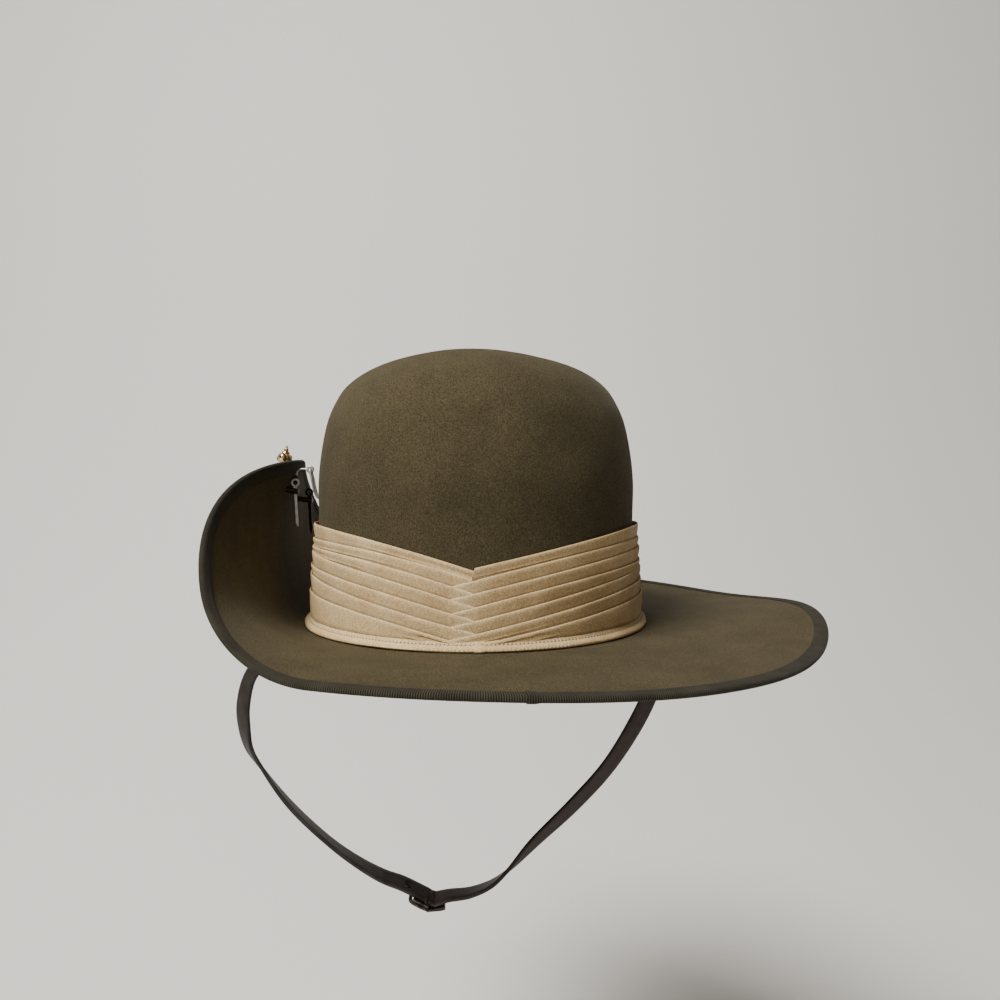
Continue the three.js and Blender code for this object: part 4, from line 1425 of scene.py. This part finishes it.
class HAT_OT_badge(bpy.types.Operator):
    """Press the plain oval badge, its finial and its lugs"""

    bl_idname = "hat.badge"
    bl_label = "Badge"

    # Each step up the badge's face: how far in it goes, and how far it rises.
    STEPS = [
        (0.0, 1.2), (0.5, 0.5), (1.0, 0.1), (0.5, -0.5), (0.8, 0.0), (1.4, 1.0), (2.2, 0.9), (2.6, 0.5),
        (2.4, 0.2),
    ]
    # The finial's beads: across, up and out from the middle of the finial, and radius.
    FINIAL = [
        (-4.2, -1.9, 0, 2.4), (0, 0, 0, 2.4), (4.2, -1.9, 0, 2.4), (-2.1, -1.6, 1.7, 1.9),
        (2.1, -1.6, 1.7, 1.9), (-2.1, -1.6, -1.7, 1.9), (2.1, -1.6, -1.7, 1.9), (0, -2.9, 2.6, 1.9),
        (0, -2.9, -2.3, 1.9), (0, 2.6, 0, 1.3), (0, 4.3, 0, 0.7),
    ]
    FINIAL_PLACE = (21.2, 2.4)  # above the badge's middle, and out from its back
    STEM = (1.0, 1.0)  # its radius, and out from the badge's back
    STEM_FOOT = 2  # how far inside the rim it starts
    # The beads round the rim: their number, radius, distance in from it and out from the back.
    RIM_BEADS = 44
    RIM_BEAD = 0.6
    RIM_IN = 1
    RIM_OUT = 1.9

    def execute(self, context):
        look = context.scene.hat_metal
        felt = context.scene.hat_felt.thickness / MM
        surface, inward, upward = on_flap(*BADGE_PLACE)
        back = surface - inward * (felt + BADGE_SEAT)

        def place(sidewise, rise, out):
            return back + ACROSS * sidewise + upward * rise - inward * out

        deselect()
        bpy.ops.mesh.primitive_circle_add(vertices=64, radius=BADGE_HALF_HEIGHT, fill_type="NGON")
        disc = name_new("badge_disc")
        bpy.ops.object.mode_set(mode="EDIT")
        bpy.ops.mesh.select_all(action="SELECT")
        for inset, rise in self.STEPS:
            if inset:
                bpy.ops.mesh.inset(thickness=inset, depth=0)
                bpy.ops.transform.translate(value=(0, 0, rise))
            else:
                bpy.ops.mesh.extrude_region_move(TRANSFORM_OT_translate={"value": (0, 0, rise)})
        bpy.ops.mesh.poke()
        bpy.ops.object.mode_set(mode="OBJECT")
        for vertex in disc.data.vertices:
            co = vertex.co
            vertex.co = place(co.x * BADGE_STRETCH, co.y, co.z) * MM
        height, off = self.FINIAL_PLACE
        thick, stem_off = self.STEM
        stem = [place(0, BADGE_HALF_HEIGHT - self.STEM_FOOT, stem_off), place(0, height, stem_off)]
        pieces = [faced_out(disc), wire("badge_stem", stem, thick)]
        beads = [
            (place(sidewise, height + rise, off + out), radius)
            for sidewise, rise, out, radius in self.FINIAL
        ]
        rim = BADGE_HALF_HEIGHT - self.RIM_IN
        for i in range(self.RIM_BEADS):
            turn = FULL_TURN * i / self.RIM_BEADS
            centre = place(rim * BADGE_STRETCH * math.cos(turn), rim * math.sin(turn), self.RIM_OUT)
            beads.append((centre, self.RIM_BEAD))
        for centre, radius in beads:
            segments, rings = (20, 12) if radius > 1 else (8, 6)
            deselect()
            bpy.ops.mesh.primitive_uv_sphere_add(
                segments=segments, ring_count=rings, radius=radius * MM, location=centre * MM
            )
            pieces.append(smooth(settled(name_new("bead")), 80))
        badge = smooth(joined(pieces, "badge_brass"), 40)
        brass = metal_material("stamped_brass", look.brass, linear("#b98a4e"), 0.18, 0.38)
        finished(badge, brass, "brass", ["badge"])
        lugs = [
            wire("badge_lug", [outside, outside.lerp(inside, 0.5), inside], LUG_RADIUS)
            for outside, inside, _ in lug_places(felt)
        ]
        dark = metal_material("tarnished_brass", linear("#5c4a30"), linear("#3e311f"), 0.4, 0.55)
        finished(joined(lugs, "badge_lugs_metal"), dark, "dark_metal")
        return {"FINISHED"}


class HAT_OT_pins(bpy.types.Operator):
    """Bend the two split pins that hold the badge"""

    bl_idname = "hat.pins"
    bl_label = "Split pins"

    SPREAD = 0.6  # of a leg off the middle, as a share of the wire
    FIRST_LEG = 0.9  # of that at the first leg's foot
    LONGER = 1.2  # how much longer the second leg is
    EYE_TURN = (200, 520)  # degrees of wire in the eye
    EYE_STEPS = 26

    def execute(self, context):
        look = context.scene.hat_metal
        felt = context.scene.hat_felt.thickness / MM
        bright = metal_material("steel_pin", look.steel, linear("#c9c8c2"), 0.38, 0.5)
        dark = metal_material("blackened_pin", look.dark, linear("#191817"), 0.3, 0.5)
        names = [("split_pin_near", bright, "steel_wire"), ("split_pin_far", dark, "dark_metal")]
        for (_, _, pin), (name, metal, slot) in zip(lug_places(felt), names):
            centre = pin + UP * (LUG_RADIUS + 2 * GAP + PIN_EYE + PIN_WIRE)
            side = Vector((PIN_WIRE * self.SPREAD, 0, 0))
            foot = pin - UP * PIN_LEG + Vector((PIN_LEAN, 0, 0))
            neck = centre - UP * (PIN_EYE + PIN_NECK)
            eye = ring_points(centre, PIN_EYE, *self.EYE_TURN, self.EYE_STEPS)
            points = [foot - side * self.FIRST_LEG, neck - side, *eye]
            points += [neck + side, foot + side - UP * self.LONGER]
            finished(wire(name + "_wire", points, PIN_WIRE), metal, slot, [name])
        return {"FINISHED"}


# ---- Stage ----


class HAT_OT_stage(bpy.types.Operator):
    """Set the pale floor, the soft lights and the camera"""

    bl_idname = "hat.stage"
    bl_label = "Stage"

    CAMERA = Vector((12.72, -468.84, 63.99))
    LENS = 30.6
    SENSOR = 36
    # The backdrop, in metres: a floor swept up into a wall.
    WIDTH = 4.0
    FRONT = -2.2
    WALL = 1.3  # behind the hat
    HEIGHT = 2.4
    LEAN = 0.02
    SWEEP = 1.1  # radius of the curve from floor to wall
    FILL = 0.07  # of the key light's power
    ROOM = 0.04  # strength of the light from all round

    def execute(self, context):
        look = context.scene.hat_stage
        sweep = self.backdrop(CAD_BOX[0].z - look.clearance)
        sweep.data.materials.append(plaster_material(look))

        self.light("window", (-0.78, -0.9, 1.7), (0, 0, 0.02), 0.85, look.key, "#fffaf4")
        self.light("fill", (0.25, -1.9, 0.3), (0, 0, 0), 1.2, look.key * self.FILL, "#fff8ee")
        world = bpy.data.worlds.new("soft_room")
        world.use_nodes = True
        air = world.node_tree.nodes["Background"]
        air.inputs["Color"].default_value = (*linear("#e6e4de"), 1)
        air.inputs["Strength"].default_value = self.ROOM
        context.scene.world = world

        data = bpy.data.cameras.new("camera")
        data.lens = self.LENS
        data.sensor_width = self.SENSOR
        data.clip_start = 0.01
        data.clip_end = 20
        camera = bpy.data.objects.new("camera", data)
        context.scene.collection.objects.link(camera)
        camera.location = self.CAMERA * MM
        camera.rotation_euler = (math.pi / 2, 0, 0)
        context.scene.camera = camera
        return {"FINISHED"}

    def backdrop(self, floor_at):
        """The floor, its back edge drawn up into the wall and the corner between them rounded."""
        deselect()
        bpy.ops.mesh.primitive_plane_add(size=1)
        sweep = name_new("sweep")
        for vertex in sweep.data.vertices:
            y = self.FRONT if vertex.co.y < 0 else self.WALL
            vertex.co = Vector((self.WIDTH * vertex.co.x, y, floor_at))
        bpy.ops.object.mode_set(mode="EDIT")
        bpy.ops.mesh.select_all(action="DESELECT")
        bpy.ops.object.mode_set(mode="OBJECT")
        self.select_corner(sweep, floor_at)
        bpy.ops.object.mode_set(mode="EDIT")
        bpy.ops.mesh.select_mode(type="EDGE")
        bpy.ops.mesh.extrude_region_move(
            TRANSFORM_OT_translate={"value": (0, self.LEAN, self.HEIGHT)}
        )
        bpy.ops.object.mode_set(mode="OBJECT")
        self.select_corner(sweep, floor_at)
        bpy.ops.object.mode_set(mode="EDIT")
        bpy.ops.mesh.bevel(offset=self.SWEEP, segments=32, affect="EDGES")
        bpy.ops.object.mode_set(mode="OBJECT")
        return smooth(sweep, 60)

    def select_corner(self, sweep, floor_at):
        """Selects the edge where the floor meets the wall."""
        corner = Vector((0, self.WALL, floor_at))
        for edge in sweep.data.edges:
            ends = [sweep.data.vertices[v].co * Vector((0, 1, 1)) for v in edge.vertices]
            edge.select = all((end - corner).length < 1e-4 for end in ends)

    @staticmethod
    def light(name, place, target, size, power, code):
        """A soft square light that looks at a target."""
        data = bpy.data.lights.new(name, "AREA")
        data.shape = "SQUARE"
        data.size = size
        data.energy = power
        data.color = linear(code)
        light = bpy.data.objects.new(name, data)
        bpy.context.scene.collection.objects.link(light)
        light.location = place
        light.rotation_euler = (Vector(target) - Vector(place)).to_track_quat("-Z", "Y").to_euler()


class HAT_PT_panel(bpy.types.Panel):
    """Lists the hat's pieces and their settings"""

    bl_idname = "HAT_PT_panel"
    bl_label = "Slouch hat"
    bl_space_type = "VIEW_3D"
    bl_region_type = "UI"
    bl_category = "Slouch Hat"

    def draw(self, context):
        for operator in OPERATORS:
            self.layout.operator(operator.bl_idname)
        for key, group in SETTINGS.items():
            box = self.layout.box()
            for name in group.__annotations__:
                box.prop(getattr(context.scene, key), name)


SETTINGS = {
    "hat_felt": HatFeltSettings,
    "hat_binding": HatBindingSettings,
    "hat_band": HatBandSettings,
    "hat_strap": HatStrapSettings,
    "hat_metal": HatMetalSettings,
    "hat_stage": HatStageSettings,
}
OPERATORS = [
    HAT_OT_felt,
    HAT_OT_binding,
    HAT_OT_band,
    HAT_OT_straps,
    HAT_OT_buckle,
    HAT_OT_hook,
    HAT_OT_badge,
    HAT_OT_pins,
    HAT_OT_stage,
]


def register():
    for key, group in SETTINGS.items():
        bpy.utils.register_class(group)
        setattr(bpy.types.Scene, key, PointerProperty(type=group))
    for item in [*OPERATORS, HAT_PT_panel]:
        bpy.utils.register_class(item)


def unregister():
    for item in reversed([*OPERATORS, HAT_PT_panel]):
        bpy.utils.unregister_class(item)
    for key, group in reversed(SETTINGS.items()):
        delattr(bpy.types.Scene, key)
        bpy.utils.unregister_class(group)


def main():
    register()
    for operator in OPERATORS:
        group, action = operator.bl_idname.split(".")
        result = getattr(getattr(bpy.ops, group), action)()
        if result != {"FINISHED"}:
            raise RuntimeError(f"{operator.bl_label} wasn't finished")
    deselect()


if __name__ == "__main__":
    main()
